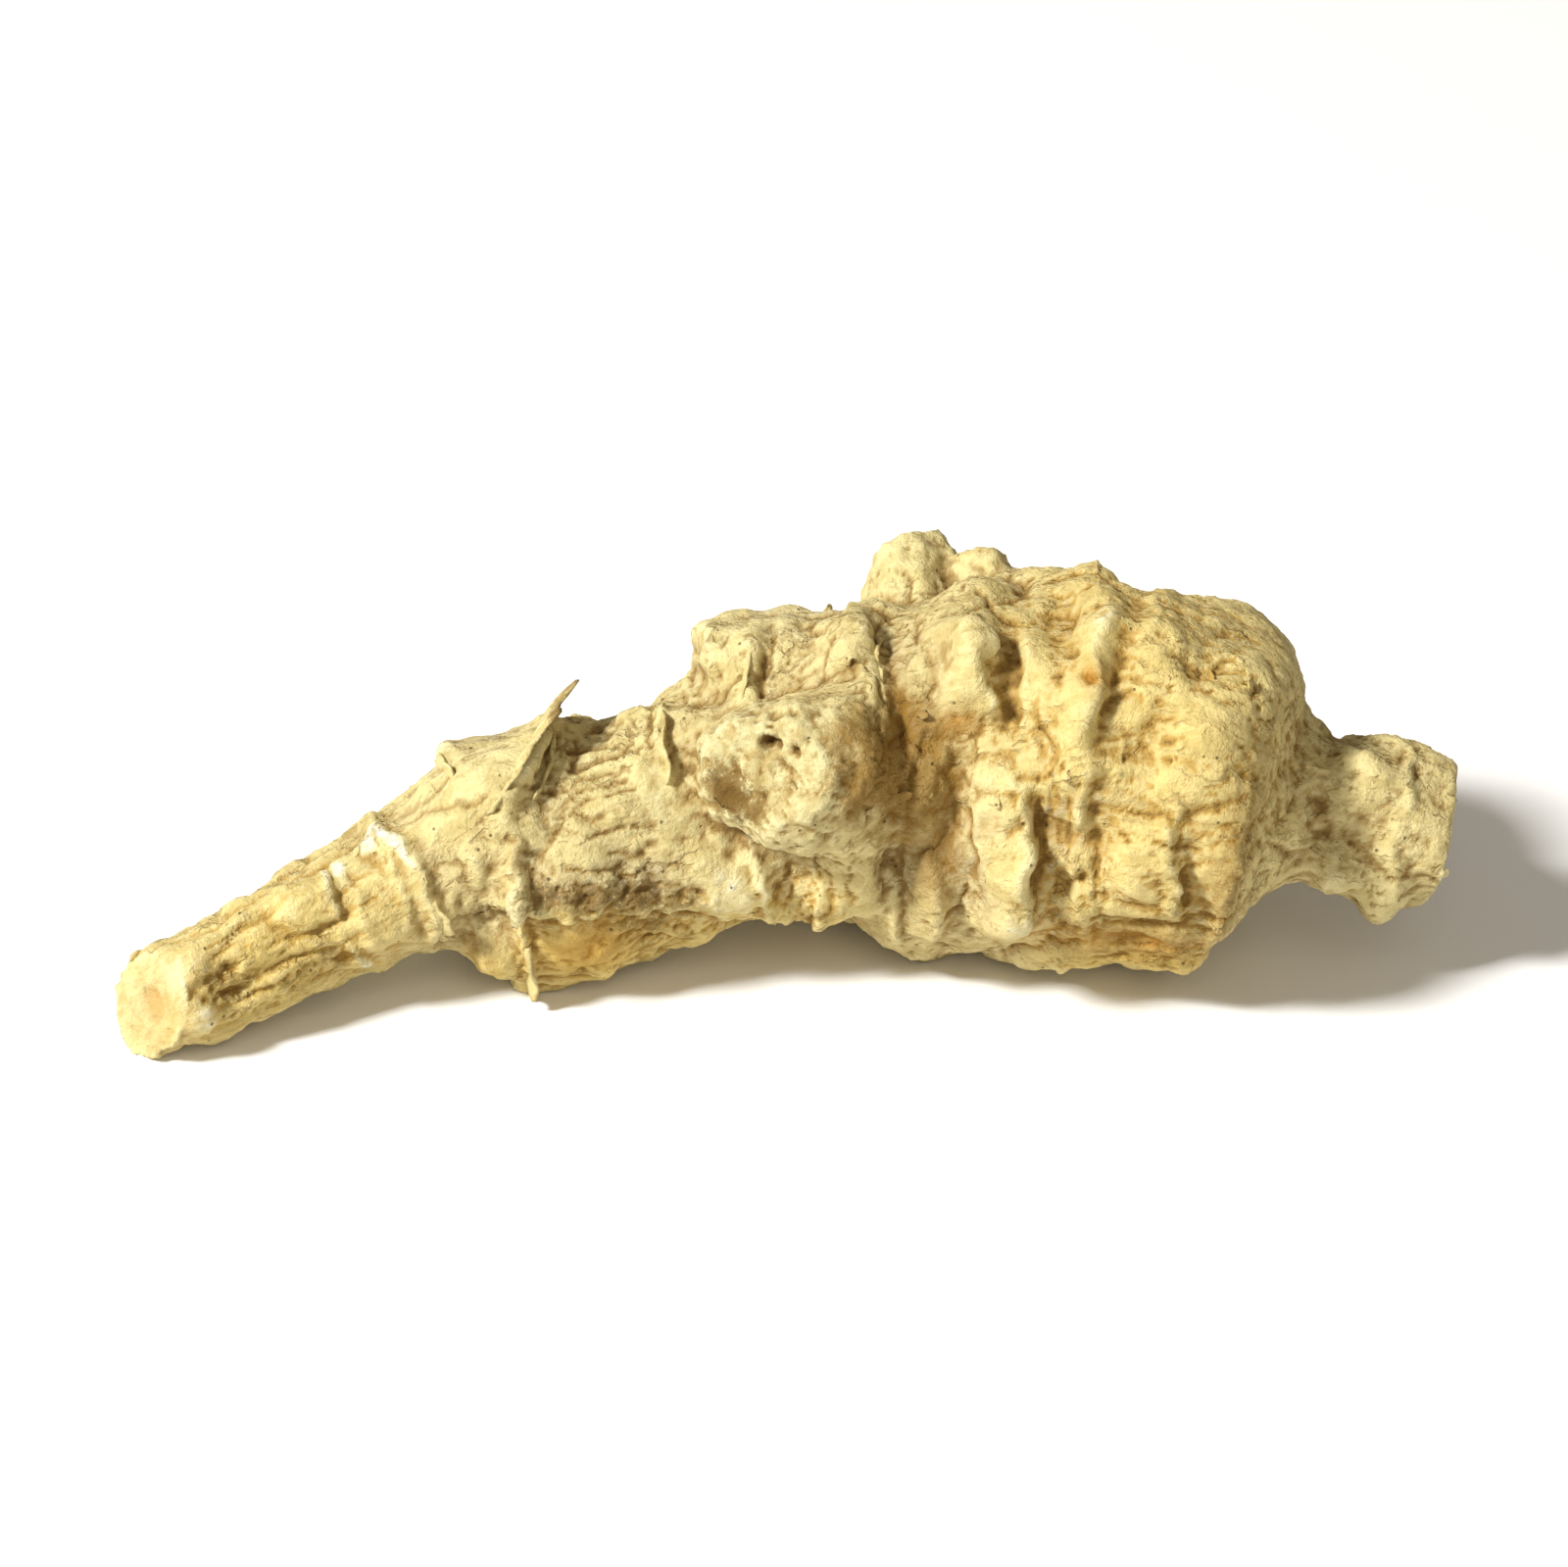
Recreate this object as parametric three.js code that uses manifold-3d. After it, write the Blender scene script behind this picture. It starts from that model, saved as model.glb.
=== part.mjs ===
// A dried American ginseng root, lying on its side: one solid that grew as one piece.
// It has a tapering body with ring ridges and torn bark lips, a slanting cut at the tip, a broad
// shoulder, a short crown stub with two stem scars, and three side roots that were cut short.
// Millimetres. +X runs from the tip to the crown, +Z is up, and +Y is the back.
// Angles round the body are in degrees: 0 is up, 90 is the front, 180 is down and 270 is the back.
import * as THREE from "three";
import { mergeVertices } from "three/addons/utils/BufferGeometryUtils.js";
import Module from "manifold-3d";

const wasm = await Module();
wasm.setup();

// Driving sizes
const TIP_START = -3;
const CROWN_END = 86;
const STEP_ALONG = 0.76;
const SIDES = 36;
const LIP_EDGE = 0.65;
const LIP_FOOT = 1.3;
const LIP_ROOT = 1.5;
const LIP_SUNK = 0.25;
const STEEP = 0.55;
const WRINKLED_TO = 26;
const WRINKLE = 0.22;
const TIP_CUT_NORMAL = new THREE.Vector3(-0.79, -0.54, 0.29);
const TIP_CUT_POINT = new THREE.Vector3(0, 0, 3.4);
const GROUND_SIZE = 300;
const BARK = { color: "#d6b77c", roughness: 0.85, metalness: 0 };

// Cross-sections: distance from the tip, place to the back, height of the centre, half width, half height
const STATIONS = [
  [-3, -1.2, 3.0, 3.1, 3.1],
  [0, 0, 3.2, 3.2, 3.3],
  [7, 2.5, 4.4, 3.6, 3.7],
  [14, 5.0, 5.9, 4.3, 4.4],
  [19, 6.4, 7.2, 5.3, 5.5],
  [23.5, 6.8, 8.2, 6.9, 7.2],
  [28, 6.4, 8.2, 7.6, 7.9],
  [33, 6.3, 8.8, 7.7, 7.6],
  [37, 6.8, 9.8, 8.0, 7.7],
  [42, 7.5, 11.0, 9.1, 8.7],
  [48, 7.3, 11.4, 10.5, 10.4],
  [54, 6.1, 11.7, 11.6, 11.7],
  [60, 4.4, 12.1, 12.5, 12.5],
  [65, 2.9, 12.3, 13.0, 12.7],
  [69.5, 1.6, 12.3, 12.9, 12.6],
  [72.2, 0.8, 12.1, 12.1, 11.9],
  [74.2, 0.1, 11.7, 9.7, 9.6],
  [75.6, -0.6, 11.4, 6.4, 6.4],
  [77.4, -1.4, 11.2, 5.1, 5.2],
  [80, -2.4, 10.8, 4.8, 4.9],
  [83, -3.3, 10.4, 5.2, 5.2],
  [86, -4.2, 10.0, 4.9, 4.9],
];

// Slow swellings of the whole body: height, wave length along, waves round, phase along, phase round
const SWELLINGS = [
  [0.6, 26, 2, 0.4, 0.9],
  [0.55, 15, 3, 1.9, 2.2],
  [0.45, 9.7, 4, 3.1, 0.3],
  [0.35, 6.9, 5, 0.8, 1.4],
  [0.25, 5.3, 7, 4.4, 2.9],
];

// Lobes and warts, or dents where the height is below zero:
// distance from the tip, angle, height, half length, half angle
const LOBES = [
  { at: 10.4, angle: 22, height: 0.8, length: 1.7, spread: 24 },
  { at: 26.5, angle: 150, height: 1.6, length: 3.8, spread: 28 },
  { at: 40.6, angle: 140, height: 0.5, length: 3.2, spread: 34 },
  { at: 44.6, angle: 130, height: 1.9, length: 1.9, spread: 20 },
  { at: 46.5, angle: -12, height: 0.7, length: 4.0, spread: 26 },
  { at: 56.1, angle: 21, height: 3.0, length: 1.7, spread: 14 },
  { at: 54.6, angle: 34, height: 0.8, length: 1.2, spread: 8 },
  { at: 63.5, angle: -22, height: 1.2, length: 1.8, spread: 9 },
  { at: 57.6, angle: 109, height: 1.7, length: 1.4, spread: 8 },
  { at: 60.6, angle: 76, height: -0.8, length: 4.4, spread: 7 },
  { at: 52.9, angle: 80, height: -1.4, length: 2.5, spread: 20 },
  { at: 66.5, angle: 128, height: 0.7, length: 6.0, spread: 9 },
  { at: 74.5, angle: 110, height: 2.9, length: 2.1, spread: 30 },
  { at: 31, angle: 250, height: 1.2, length: 3.5, spread: 20 },
  { at: 64, angle: 245, height: 0.9, length: 3.0, spread: 16 },
  { at: 79.2, angle: 108, height: 1.6, length: 1.5, spread: 26 },
  { at: 82.4, angle: 134, height: 1.2, length: 1.2, spread: 22 },
  { at: 78.6, angle: 200, height: 1.2, length: 1.4, spread: 26 },
  { at: 80.6, angle: 300, height: 1.4, length: 1.6, spread: 24 },
  { at: 80.0, angle: 20, height: 1.0, length: 1.3, spread: 22 },
];

// Ring ridges, or grooves where the height is below zero. The ring crosses "angle" at "at", drifts
// along the body by "drift" millimetres a quarter turn, and fades "arc" degrees to either side.
// It drops off at once on the side "steep" gives, and slopes away over "slope" widths on the other.
const RINGS = [
  { at: 17.6, drift: 0, height: 0.7, width: 0.8, slope: 1.5, angle: 45, arc: 110, steep: 1 },
  { at: 13.6, drift: 0.6, height: 0.35, width: 0.7, slope: 1.5, angle: 60, arc: 70, steep: 1 },
  { at: 20.9, drift: 0.5, height: 0.6, width: 0.9, slope: 1.5, angle: 200, arc: 120, steep: -1 },
  { at: 22.6, drift: 0, height: 0.9, width: 0.9, slope: 2.6, angle: -14, arc: 42, steep: -1 },
  { at: 26.0, drift: -6, height: 1.3, width: 1.0, slope: 2.2, angle: 8, arc: 36, steep: 1 },
  { at: 24.9, drift: 1.9, height: 1.0, width: 0.9, slope: 1.5, angle: 90, arc: 60, steep: 1 },
  { at: 35.6, drift: -4.5, height: 0.9, width: 0.8, slope: 2.2, angle: 30, arc: 34, steep: 1 },
  { at: 33.6, drift: 0.8, height: 0.7, width: 1.0, slope: 1.5, angle: 230, arc: 80, steep: -1 },
  { at: 41.2, drift: 0.6, height: 2.6, width: 1.1, slope: 4.4, angle: -22, arc: 34, steep: -1 },
  { at: 42.4, drift: -2.6, height: 0.7, width: 0.7, slope: 1.5, angle: 8, arc: 30, steep: 1 },
  { at: 44.0, drift: 0.6, height: 0.6, width: 0.9, slope: 1.5, angle: 165, arc: 60, steep: 1 },
  { at: 49.3, drift: 0, height: 1.1, width: 1.0, slope: 2.0, angle: 18, arc: 32, steep: 1 },
  { at: 50.6, drift: 0, height: -1.2, width: 1.4, slope: 1.2, angle: 66, arc: 70, steep: 1 },
  { at: 53.2, drift: 0.4, height: 0.7, width: 0.9, slope: 1.5, angle: 110, arc: 40, steep: 1 },
  { at: 52.4, drift: 0.3, height: 0.7, width: 0.9, slope: 1.5, angle: 225, arc: 90, steep: -1 },
  { at: 58.6, drift: 0.5, height: -0.8, width: 1.1, slope: 1.2, angle: 22, arc: 46, steep: 1 },
  { at: 59.2, drift: 0.4, height: 1.6, width: 1.1, slope: 2.2, angle: 84, arc: 26, steep: 1 },
  { at: 63.0, drift: -3.6, height: 1.4, width: 1.1, slope: 1.5, angle: 32, arc: 36, steep: 1 },
  { at: 63.2, drift: 0.6, height: 0.8, width: 0.8, slope: 1.5, angle: 84, arc: 34, steep: 1 },
  { at: 62.4, drift: 0.5, height: 0.7, width: 0.9, slope: 1.5, angle: 250, arc: 95, steep: -1 },
  { at: 68.4, drift: 3.2, height: 0.7, width: 0.7, slope: 1.5, angle: 80, arc: 26, steep: 1 },
  { at: 68.2, drift: -0.4, height: 0.6, width: 0.8, slope: 1.5, angle: 300, arc: 80, steep: 1 },
  { at: 72.4, drift: 0.3, height: 0.4, width: 0.7, slope: 1.5, angle: 180, arc: 150, steep: 1 },
  { at: 78.2, drift: 0.2, height: -0.4, width: 0.8, slope: 1.2, angle: 90, arc: 200, steep: 1 },
  { at: 82.6, drift: 0.5, height: 0.4, width: 0.7, slope: 1.5, angle: 30, arc: 150, steep: 1 },
];

// Torn bark lips that stand up off a ring: distance from the tip at the middle, drift along the body a
// quarter turn, first and last angle, height, and lean along the body
const LIPS = [
  { at: 17.9, drift: 0, from: 70, to: 118, height: 0.9, lean: 0.4 },
  { at: 22.0, drift: 0, from: -34, to: 16, height: 1.2, lean: -0.9 },
  { at: 26.4, drift: -6, from: -30, to: 42, height: 2.1, lean: 1.3 },
  { at: 27.8, drift: -4, from: -40, to: -20, height: 3.8, lean: 2.1 },
  { at: 26.0, drift: 1.9, from: 112, to: 160, height: 1.3, lean: 0.5 },
  { at: 35.9, drift: -4.5, from: 2, to: 50, height: 1.1, lean: 0.4 },
  { at: 34.8, drift: 1.5, from: 68, to: 92, height: 1.5, lean: -0.7 },
  { at: 34.2, drift: 0.8, from: 218, to: 264, height: 1.2, lean: 0.5 },
  { at: 41.2, drift: 0.6, from: -44, to: -6, height: 1.0, lean: -0.9 },
  { at: 49.6, drift: 0, from: 0, to: 34, height: 1.8, lean: 0.5 },
  { at: 53.6, drift: 0.3, from: 196, to: 244, height: 1.1, lean: -0.5 },
  { at: 59.8, drift: 0.4, from: 62, to: 100, height: 1.2, lean: 0.8 },
  { at: 63.6, drift: 0.5, from: 232, to: 284, height: 1.0, lean: -0.4 },
];

// Side roots cut short: where they leave the body, how far they lean along it, their length from the
// body's centre, their half width along and across it, how far they flare at the foot, and how far the
// cut slants along the body
const STUMPS = [
  { at: 52.3, angle: 57.5, lean: -0.74, length: 17.6, wide: 6.2, tall: 4.8, flare: 2.0, cut: -0.16 },
  { at: 53.6, angle: -54, lean: -0.1, length: 16.4, wide: 3.4, tall: 3.6, flare: 1.6, cut: 0.3 },
  { at: 57.0, angle: -46, lean: -0.02, length: 15.2, wide: 2.2, tall: 2.2, flare: 0.9, cut: 0 },
];
const STUMP_SIDES = 16;
const STUMP_STEPS = 9;
const STUMP_DISH = 0.5;

// Stem scars of the crown, one in its cut end and one on its side: distance from the tip, distance to
// the front and up from the centre, and the hollow's half sizes along, across and up
const SCARS = [
  { at: 86, front: 0.7, up: 0.4, size: [1.3, 2.7, 2.3] },
  { at: 81.2, front: -4.1, up: 3.7, size: [1.9, 1.6, 1.6] },
];

const radians = THREE.MathUtils.degToRad;
const bell = (distance, reach) => Math.exp(-((distance / reach) ** 2));
const turnBetween = (a, b) => ((((a - b + 180) % 360) + 360) % 360) - 180;

// A smooth curve through the stations, for one of their columns.
function through(column, along) {
  const last = STATIONS.length - 2;
  let i = 0;
  while (i < last && along > STATIONS[i + 1][0]) i += 1;
  const slope = (k) => {
    const a = STATIONS[Math.max(k - 1, 0)];
    const b = STATIONS[Math.min(k + 1, last + 1)];
    return (b[column] - a[column]) / (b[0] - a[0]);
  };
  const [p, q] = [STATIONS[i], STATIONS[i + 1]];
  const span = q[0] - p[0];
  const t = (along - p[0]) / span;
  const rise = (1 - t) ** 2 * (1 + 2 * t) * p[column] + t ** 2 * (3 - 2 * t) * q[column];
  return rise + span * t * (1 - t) * ((1 - t) * slope(i) - t * slope(i + 1));
}

const centreAt = (along) => new THREE.Vector3(along, through(1, along), through(2, along));

// The direction along the body, the front and the up direction of its cross-section.
function axesAt(along) {
  const near = 1.5;
  const forward = centreAt(along + near).sub(centreAt(along - near)).normalize();
  const front = forward.clone().cross(new THREE.Vector3(0, 0, 1)).normalize();
  const up = front.clone().cross(forward);
  return { forward, front, up };
}

// How far a ring ridge lifts the surface at a place.
function ringHeight(ring, along, angle) {
  const turn = turnBetween(angle, ring.angle);
  const turned = radians(angle);
  const wander = 0.35 * Math.sin(3 * turned + ring.at) + 0.2 * Math.sin(7 * turned + 2 * ring.at);
  const off = along - ring.at - (ring.drift * turn) / 90 - wander;
  const reach = off * ring.steep > 0 ? STEEP * ring.width : ring.slope * ring.width;
  return ring.height * bell(off, reach) * bell(turn, ring.arc) ** 1.5;
}

// The distance from the body's centre line to its surface.
function radiusAt(along, angle) {
  const width = through(3, along);
  const height = through(4, along);
  const turn = radians(angle);
  let radius = 1 / Math.hypot(Math.sin(turn) / width, Math.cos(turn) / height);
  const size = Math.min(radius / 11, 1);
  for (const [rise, wave, folds, phase, start] of SWELLINGS)
    radius += size * rise * Math.sin((2 * Math.PI * along) / wave + phase) * Math.cos(folds * turn + start);
  for (const lobe of LOBES) {
    const round = bell(turnBetween(angle, lobe.angle), lobe.spread);
    radius += lobe.height * bell(along - lobe.at, lobe.length) * round;
  }
  for (const ring of RINGS) radius += ringHeight(ring, along, angle);
  const slender = THREE.MathUtils.smoothstep(WRINKLED_TO - along, 0, 8);
  radius += slender * WRINKLE * Math.sin(9 * turn + 0.16 * along) * Math.sin(0.33 * along + 2 * turn);
  return radius;
}

function surfaceAt(along, angle, lift = 0, lean = 0) {
  const { forward, front, up } = axesAt(along);
  const radius = radiusAt(along, angle) + lift;
  return centreAt(along)
    .addScaledVector(up, radius * Math.cos(radians(angle)))
    .addScaledVector(front, radius * Math.sin(radians(angle)))
    .addScaledVector(forward, lean);
}

// A closed skin over rows of points, each row a loop with the same number of points. Each four-cornered
// patch is folded along the diagonal that passes nearer to "middle", the true surface there.
function skin(rows, middle = () => null) {
  const around = rows[0].length;
  const points = rows.flat();
  const index = [];
  const corner = (i, j) => i * around + (j % around);
  const gap = (a, b, target) => points[a].clone().lerp(points[b], 0.5).distanceTo(target);
  for (let i = 0; i + 1 < rows.length; i += 1)
    for (let j = 0; j < around; j += 1) {
      const [a, b, c, d] = [corner(i, j), corner(i, j + 1), corner(i + 1, j + 1), corner(i + 1, j)];
      const target = middle(i, j);
      const otherWay = target && gap(a, c, target) < gap(b, d, target);
      index.push(...(otherWay ? [a, b, c, a, c, d] : [a, b, d, b, c, d]));
    }
  for (const end of [0, rows.length - 1]) {
    const middle = points.length;
    points.push(rows[end].reduce((sum, p) => sum.add(p), new THREE.Vector3()).divideScalar(around));
    for (let j = 0; j < around; j += 1) {
      const edge = [corner(end, j), corner(end, j + 1)];
      index.push(middle, ...(end ? edge : edge.reverse()));
    }
  }
  return new THREE.BufferGeometry().setFromPoints(points).setIndex(index);
}

// A closed geometry as a solid that can be joined and cut, its faces turned outwards.
function solid(geometry) {
  const bare = new THREE.BufferGeometry().setAttribute("position", geometry.getAttribute("position"));
  bare.setIndex(geometry.index);
  const merged = mergeVertices(bare, 1e-4);
  const vertProperties = new Float32Array(merged.attributes.position.array);
  const triVerts = new Uint32Array(merged.index.array);
  const make = () => new wasm.Manifold(new wasm.Mesh({ numProp: 3, vertProperties, triVerts }));
  const made = make();
  if (made.volume() > 0) return made;
  for (let i = 0; i < triVerts.length; i += 3) triVerts.subarray(i, i + 3).reverse();
  return make();
}

function body() {
  const count = Math.round((CROWN_END - TIP_START) / STEP_ALONG);
  const place = (i, j) => surfaceAt(TIP_START + ((CROWN_END - TIP_START) * i) / count, (360 * j) / SIDES);
  const row = (i) => Array.from({ length: SIDES }, (_, j) => place(i, j));
  const rows = Array.from({ length: count + 1 }, (_, i) => row(i));
  return solid(skin(rows, (i, j) => place(i + 0.5, j + 0.5)));
}

// A torn lip of bark that follows the surface from one angle to another, leans along the body and
// thins towards its ragged edge.
function lip({ at, drift, from, to, height, lean }) {
  const steps = Math.max(4, Math.round((to - from) / 7));
  const foot = LIP_FOOT / 2;
  const edge = LIP_EDGE / 2;
  const rows = [];
  for (let i = 0; i <= steps; i += 1) {
    const angle = from + ((to - from) * i) / steps;
    const along = at + (drift * (angle - (from + to) / 2)) / 90;
    const torn = Math.sin((Math.PI * i) / steps) ** 0.7 * (0.85 + 0.15 * Math.sin(2.3 * i + at));
    const rise = height * torn - LIP_SUNK;
    rows.push([
      surfaceAt(along, angle, -LIP_ROOT, -foot),
      surfaceAt(along, angle, rise, lean * torn - edge),
      surfaceAt(along, angle, rise, lean * torn + edge),
      surfaceAt(along, angle, -LIP_ROOT, foot),
    ]);
  }
  return solid(skin(rows));
}

// A side root cut short: a round stub that flares at its foot, with a rounded rim and a dished end.
function stump({ at, angle, lean, length, wide, tall, flare, cut }) {
  const { forward, front, up } = axesAt(at);
  const out = new THREE.Vector3()
    .addScaledVector(up, Math.cos(radians(angle)))
    .addScaledVector(front, Math.sin(radians(angle)))
    .addScaledVector(forward, lean)
    .normalize();
  const across = forward.clone().addScaledVector(out, -forward.dot(out)).normalize();
  const over = out.clone().cross(across);
  const start = 0.35;
  const loop = (t, narrow, sunk) =>
    Array.from({ length: STUMP_SIDES }, (_, j) => {
      const turn = (2 * Math.PI * j) / STUMP_SIDES;
      const wobble = narrow * (1 + 0.05 * Math.sin(3 * turn + 5 * t + at) + 0.03 * Math.sin(5 * turn + at));
      const foot = flare * (1 - t) ** 2;
      const aside = (wide + foot) * wobble * Math.cos(turn);
      return centreAt(at)
        .addScaledVector(out, length * (start + (1 - start) * t) - sunk + t * cut * aside)
        .addScaledVector(across, aside)
        .addScaledVector(over, (tall + foot) * wobble * Math.sin(turn));
    });
  const rows = [];
  for (let i = 0; i <= STUMP_STEPS; i += 1) {
    const t = i / STUMP_STEPS;
    rows.push(loop(t, Math.sqrt(1 - 0.48 * THREE.MathUtils.smoothstep(t, 0.62, 1.02) ** 2), 0));
  }
  rows.push(loop(1, 0.4, STUMP_DISH));
  return solid(skin(rows));
}

// A block whose near face passes through a point, facing back along the given direction.
function blockBeyond(point, direction) {
  const size = 60;
  const block = new THREE.BoxGeometry(size, size, size);
  block.translate(0, 0, size / 2);
  const facing = direction.clone().normalize();
  block.applyQuaternion(new THREE.Quaternion().setFromUnitVectors(new THREE.Vector3(0, 0, 1), facing));
  block.translate(point.x, point.y, point.z);
  return solid(block);
}

// A stem scar: a shallow oval hollow.
function scar({ at, front, up, size }) {
  const axes = axesAt(at);
  const middle = centreAt(at).addScaledVector(axes.front, front).addScaledVector(axes.up, up);
  const hollow = new THREE.SphereGeometry(1, 12, 8);
  hollow.scale(...size);
  const along = new THREE.Vector3(1, 0, 0);
  hollow.applyQuaternion(new THREE.Quaternion().setFromUnitVectors(along, axes.forward));
  hollow.translate(middle.x, middle.y, middle.z);
  return solid(hollow);
}

let root = body();
for (const piece of [...LIPS.map(lip), ...STUMPS.map(stump)]) root = root.add(piece);
for (const hollow of SCARS.map(scar)) root = root.subtract(hollow);
root = root.subtract(blockBeyond(TIP_CUT_POINT, TIP_CUT_NORMAL));

// The root lies on small flat spots under its tip, its belly and its shoulder.
const ground = new THREE.BoxGeometry(GROUND_SIZE, GROUND_SIZE, GROUND_SIZE);
ground.translate(0, 0, -GROUND_SIZE / 2);
root = root.subtract(solid(ground));

const mesh = root.getMesh();
const geometry = new THREE.BufferGeometry();
geometry.setAttribute("position", new THREE.BufferAttribute(Float32Array.from(mesh.vertProperties), 3));
geometry.setIndex(new THREE.BufferAttribute(Uint32Array.from(mesh.triVerts), 1));
geometry.computeVertexNormals();

const ginseng = new THREE.Mesh(geometry, new THREE.MeshStandardMaterial(BARK));
ginseng.name = "ginseng_root";

// The origin is under the middle of the root, on the surface it lies on.
geometry.computeBoundingBox();
const box = geometry.boundingBox;
const group = new THREE.Group();
group.position.set(-(box.min.x + box.max.x) / 2, -(box.min.y + box.max.y) / 2, -box.min.z);
group.add(ginseng);
export default group;
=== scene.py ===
"""The looks of a dried American ginseng root, built round the solid that its frame holds.

Lengths in the tables are millimetres. "along" runs from the cut tip to the crown, and "angle" goes
round the body in degrees: 0 is up, 90 is the front, 180 is down and 270 is the back.
"""

import logging
import math
from dataclasses import dataclass
from enum import Enum
from itertools import product
from typing import Any

import bmesh
import bpy
import numpy as np
from mathutils import Matrix, Vector

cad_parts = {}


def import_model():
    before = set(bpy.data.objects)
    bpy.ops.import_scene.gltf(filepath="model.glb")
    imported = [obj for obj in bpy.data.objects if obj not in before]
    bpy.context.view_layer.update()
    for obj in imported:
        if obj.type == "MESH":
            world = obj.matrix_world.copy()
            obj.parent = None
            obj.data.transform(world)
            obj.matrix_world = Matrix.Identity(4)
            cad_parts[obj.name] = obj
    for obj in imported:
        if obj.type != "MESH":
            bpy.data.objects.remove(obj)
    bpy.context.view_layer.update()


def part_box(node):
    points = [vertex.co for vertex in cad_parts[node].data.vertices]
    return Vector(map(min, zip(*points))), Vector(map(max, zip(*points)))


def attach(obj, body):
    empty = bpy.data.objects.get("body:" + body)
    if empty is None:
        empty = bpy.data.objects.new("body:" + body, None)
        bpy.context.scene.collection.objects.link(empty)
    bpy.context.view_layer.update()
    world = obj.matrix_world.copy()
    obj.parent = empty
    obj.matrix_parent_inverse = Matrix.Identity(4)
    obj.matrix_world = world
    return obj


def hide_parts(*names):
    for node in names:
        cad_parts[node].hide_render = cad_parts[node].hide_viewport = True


LOG = logging.getLogger("ginseng")
Array = np.ndarray
Value = Array | float
Colour = tuple[float, float, float, float]
Faces = list[tuple[int, ...]]
Thing = bpy.types.Object
Socket = bpy.types.NodeSocket

NODE = "ginseng_root"
BODY = "root"
METRES = 0.001
SEED = 41
WHITE = (1.0, 1.0, 1.0, 1.0)

# Main form, as in the solid
TIP_START = -3.0
CROWN_END = 86.0
TIP_CUT_NORMAL = np.array([-0.79, -0.54, 0.29])
TIP_CUT_POINT = np.array([0.0, 0.0, 3.4])
STEEP = 0.55

# Cross-sections: along, place to the back, height of the centre, half width, half height
STATIONS = np.array([
    (-3, -1.2, 3.0, 3.1, 3.1),
    (0, 0, 3.2, 3.2, 3.3),
    (7, 2.5, 4.4, 3.6, 3.7),
    (14, 5.0, 5.9, 4.3, 4.4),
    (19, 6.4, 7.2, 5.3, 5.5),
    (23.5, 6.8, 8.2, 6.9, 7.2),
    (28, 6.4, 8.2, 7.6, 7.9),
    (33, 6.3, 8.8, 7.7, 7.6),
    (37, 6.8, 9.8, 8.0, 7.7),
    (42, 7.5, 11.0, 9.1, 8.7),
    (48, 7.3, 11.4, 10.5, 10.4),
    (54, 6.1, 11.7, 11.6, 11.7),
    (60, 4.4, 12.1, 12.5, 12.5),
    (65, 2.9, 12.3, 13.0, 12.7),
    (69.5, 1.6, 12.3, 12.9, 12.6),
    (72.2, 0.8, 12.1, 12.1, 11.9),
    (74.2, 0.1, 11.7, 9.7, 9.6),
    (75.6, -0.6, 11.4, 6.4, 6.4),
    (77.4, -1.4, 11.2, 5.1, 5.2),
    (80, -2.4, 10.8, 4.8, 4.9),
    (83, -3.3, 10.4, 5.2, 5.2),
    (86, -4.2, 10.0, 4.9, 4.9),
])

# Slow swellings: height, wave length along, waves round, phase along, phase round
SWELLINGS = (
    (0.6, 26, 2, 0.4, 0.9),
    (0.55, 15, 3, 1.9, 2.2),
    (0.45, 9.7, 4, 3.1, 0.3),
    (0.35, 6.9, 5, 0.8, 1.4),
    (0.25, 5.3, 7, 4.4, 2.9),
)


@dataclass(frozen=True)
class Lobe:
    """A lobe or wart, or a dent where the height is below zero."""

    at: float
    angle: float
    height: float
    length: float
    spread: float


@dataclass(frozen=True)
class Ring:
    """A ring ridge, or a groove where the height is below zero."""

    at: float
    drift: float
    height: float
    width: float
    slope: float
    angle: float
    arc: float
    steep: int


@dataclass(frozen=True)
class Lip:
    """A torn lip of bark that stands up off a ring."""

    at: float
    drift: float
    start: float
    stop: float
    height: float
    lean: float
    peak: float = 0.5


@dataclass(frozen=True)
class Stump:
    """A side root that was cut short."""

    at: float
    angle: float
    lean: float
    length: float
    wide: float
    tall: float
    flare: float
    cut: float


class Tint(Enum):
    """What colours a patch of the bark."""

    DUST = "dust"
    RESIN = "resin"
    PALE = "pale"
    DARK = "dark"
    BROWN = "brown"
    GOLD = "gold"


@dataclass(frozen=True)
class Line:
    """A thin ridge along a path of (along, angle) points, or a crease where the height is below zero.

    It drops at once towards the crown where the side is 1, and towards the tip where it is -1.
    """

    path: tuple[tuple[float, float], ...]
    height: float
    width: float
    side: int = 0


@dataclass(frozen=True)
class Patch:
    """A soft-edged patch of colour."""

    at: float
    angle: float
    length: float
    spread: float
    strength: float


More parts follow.
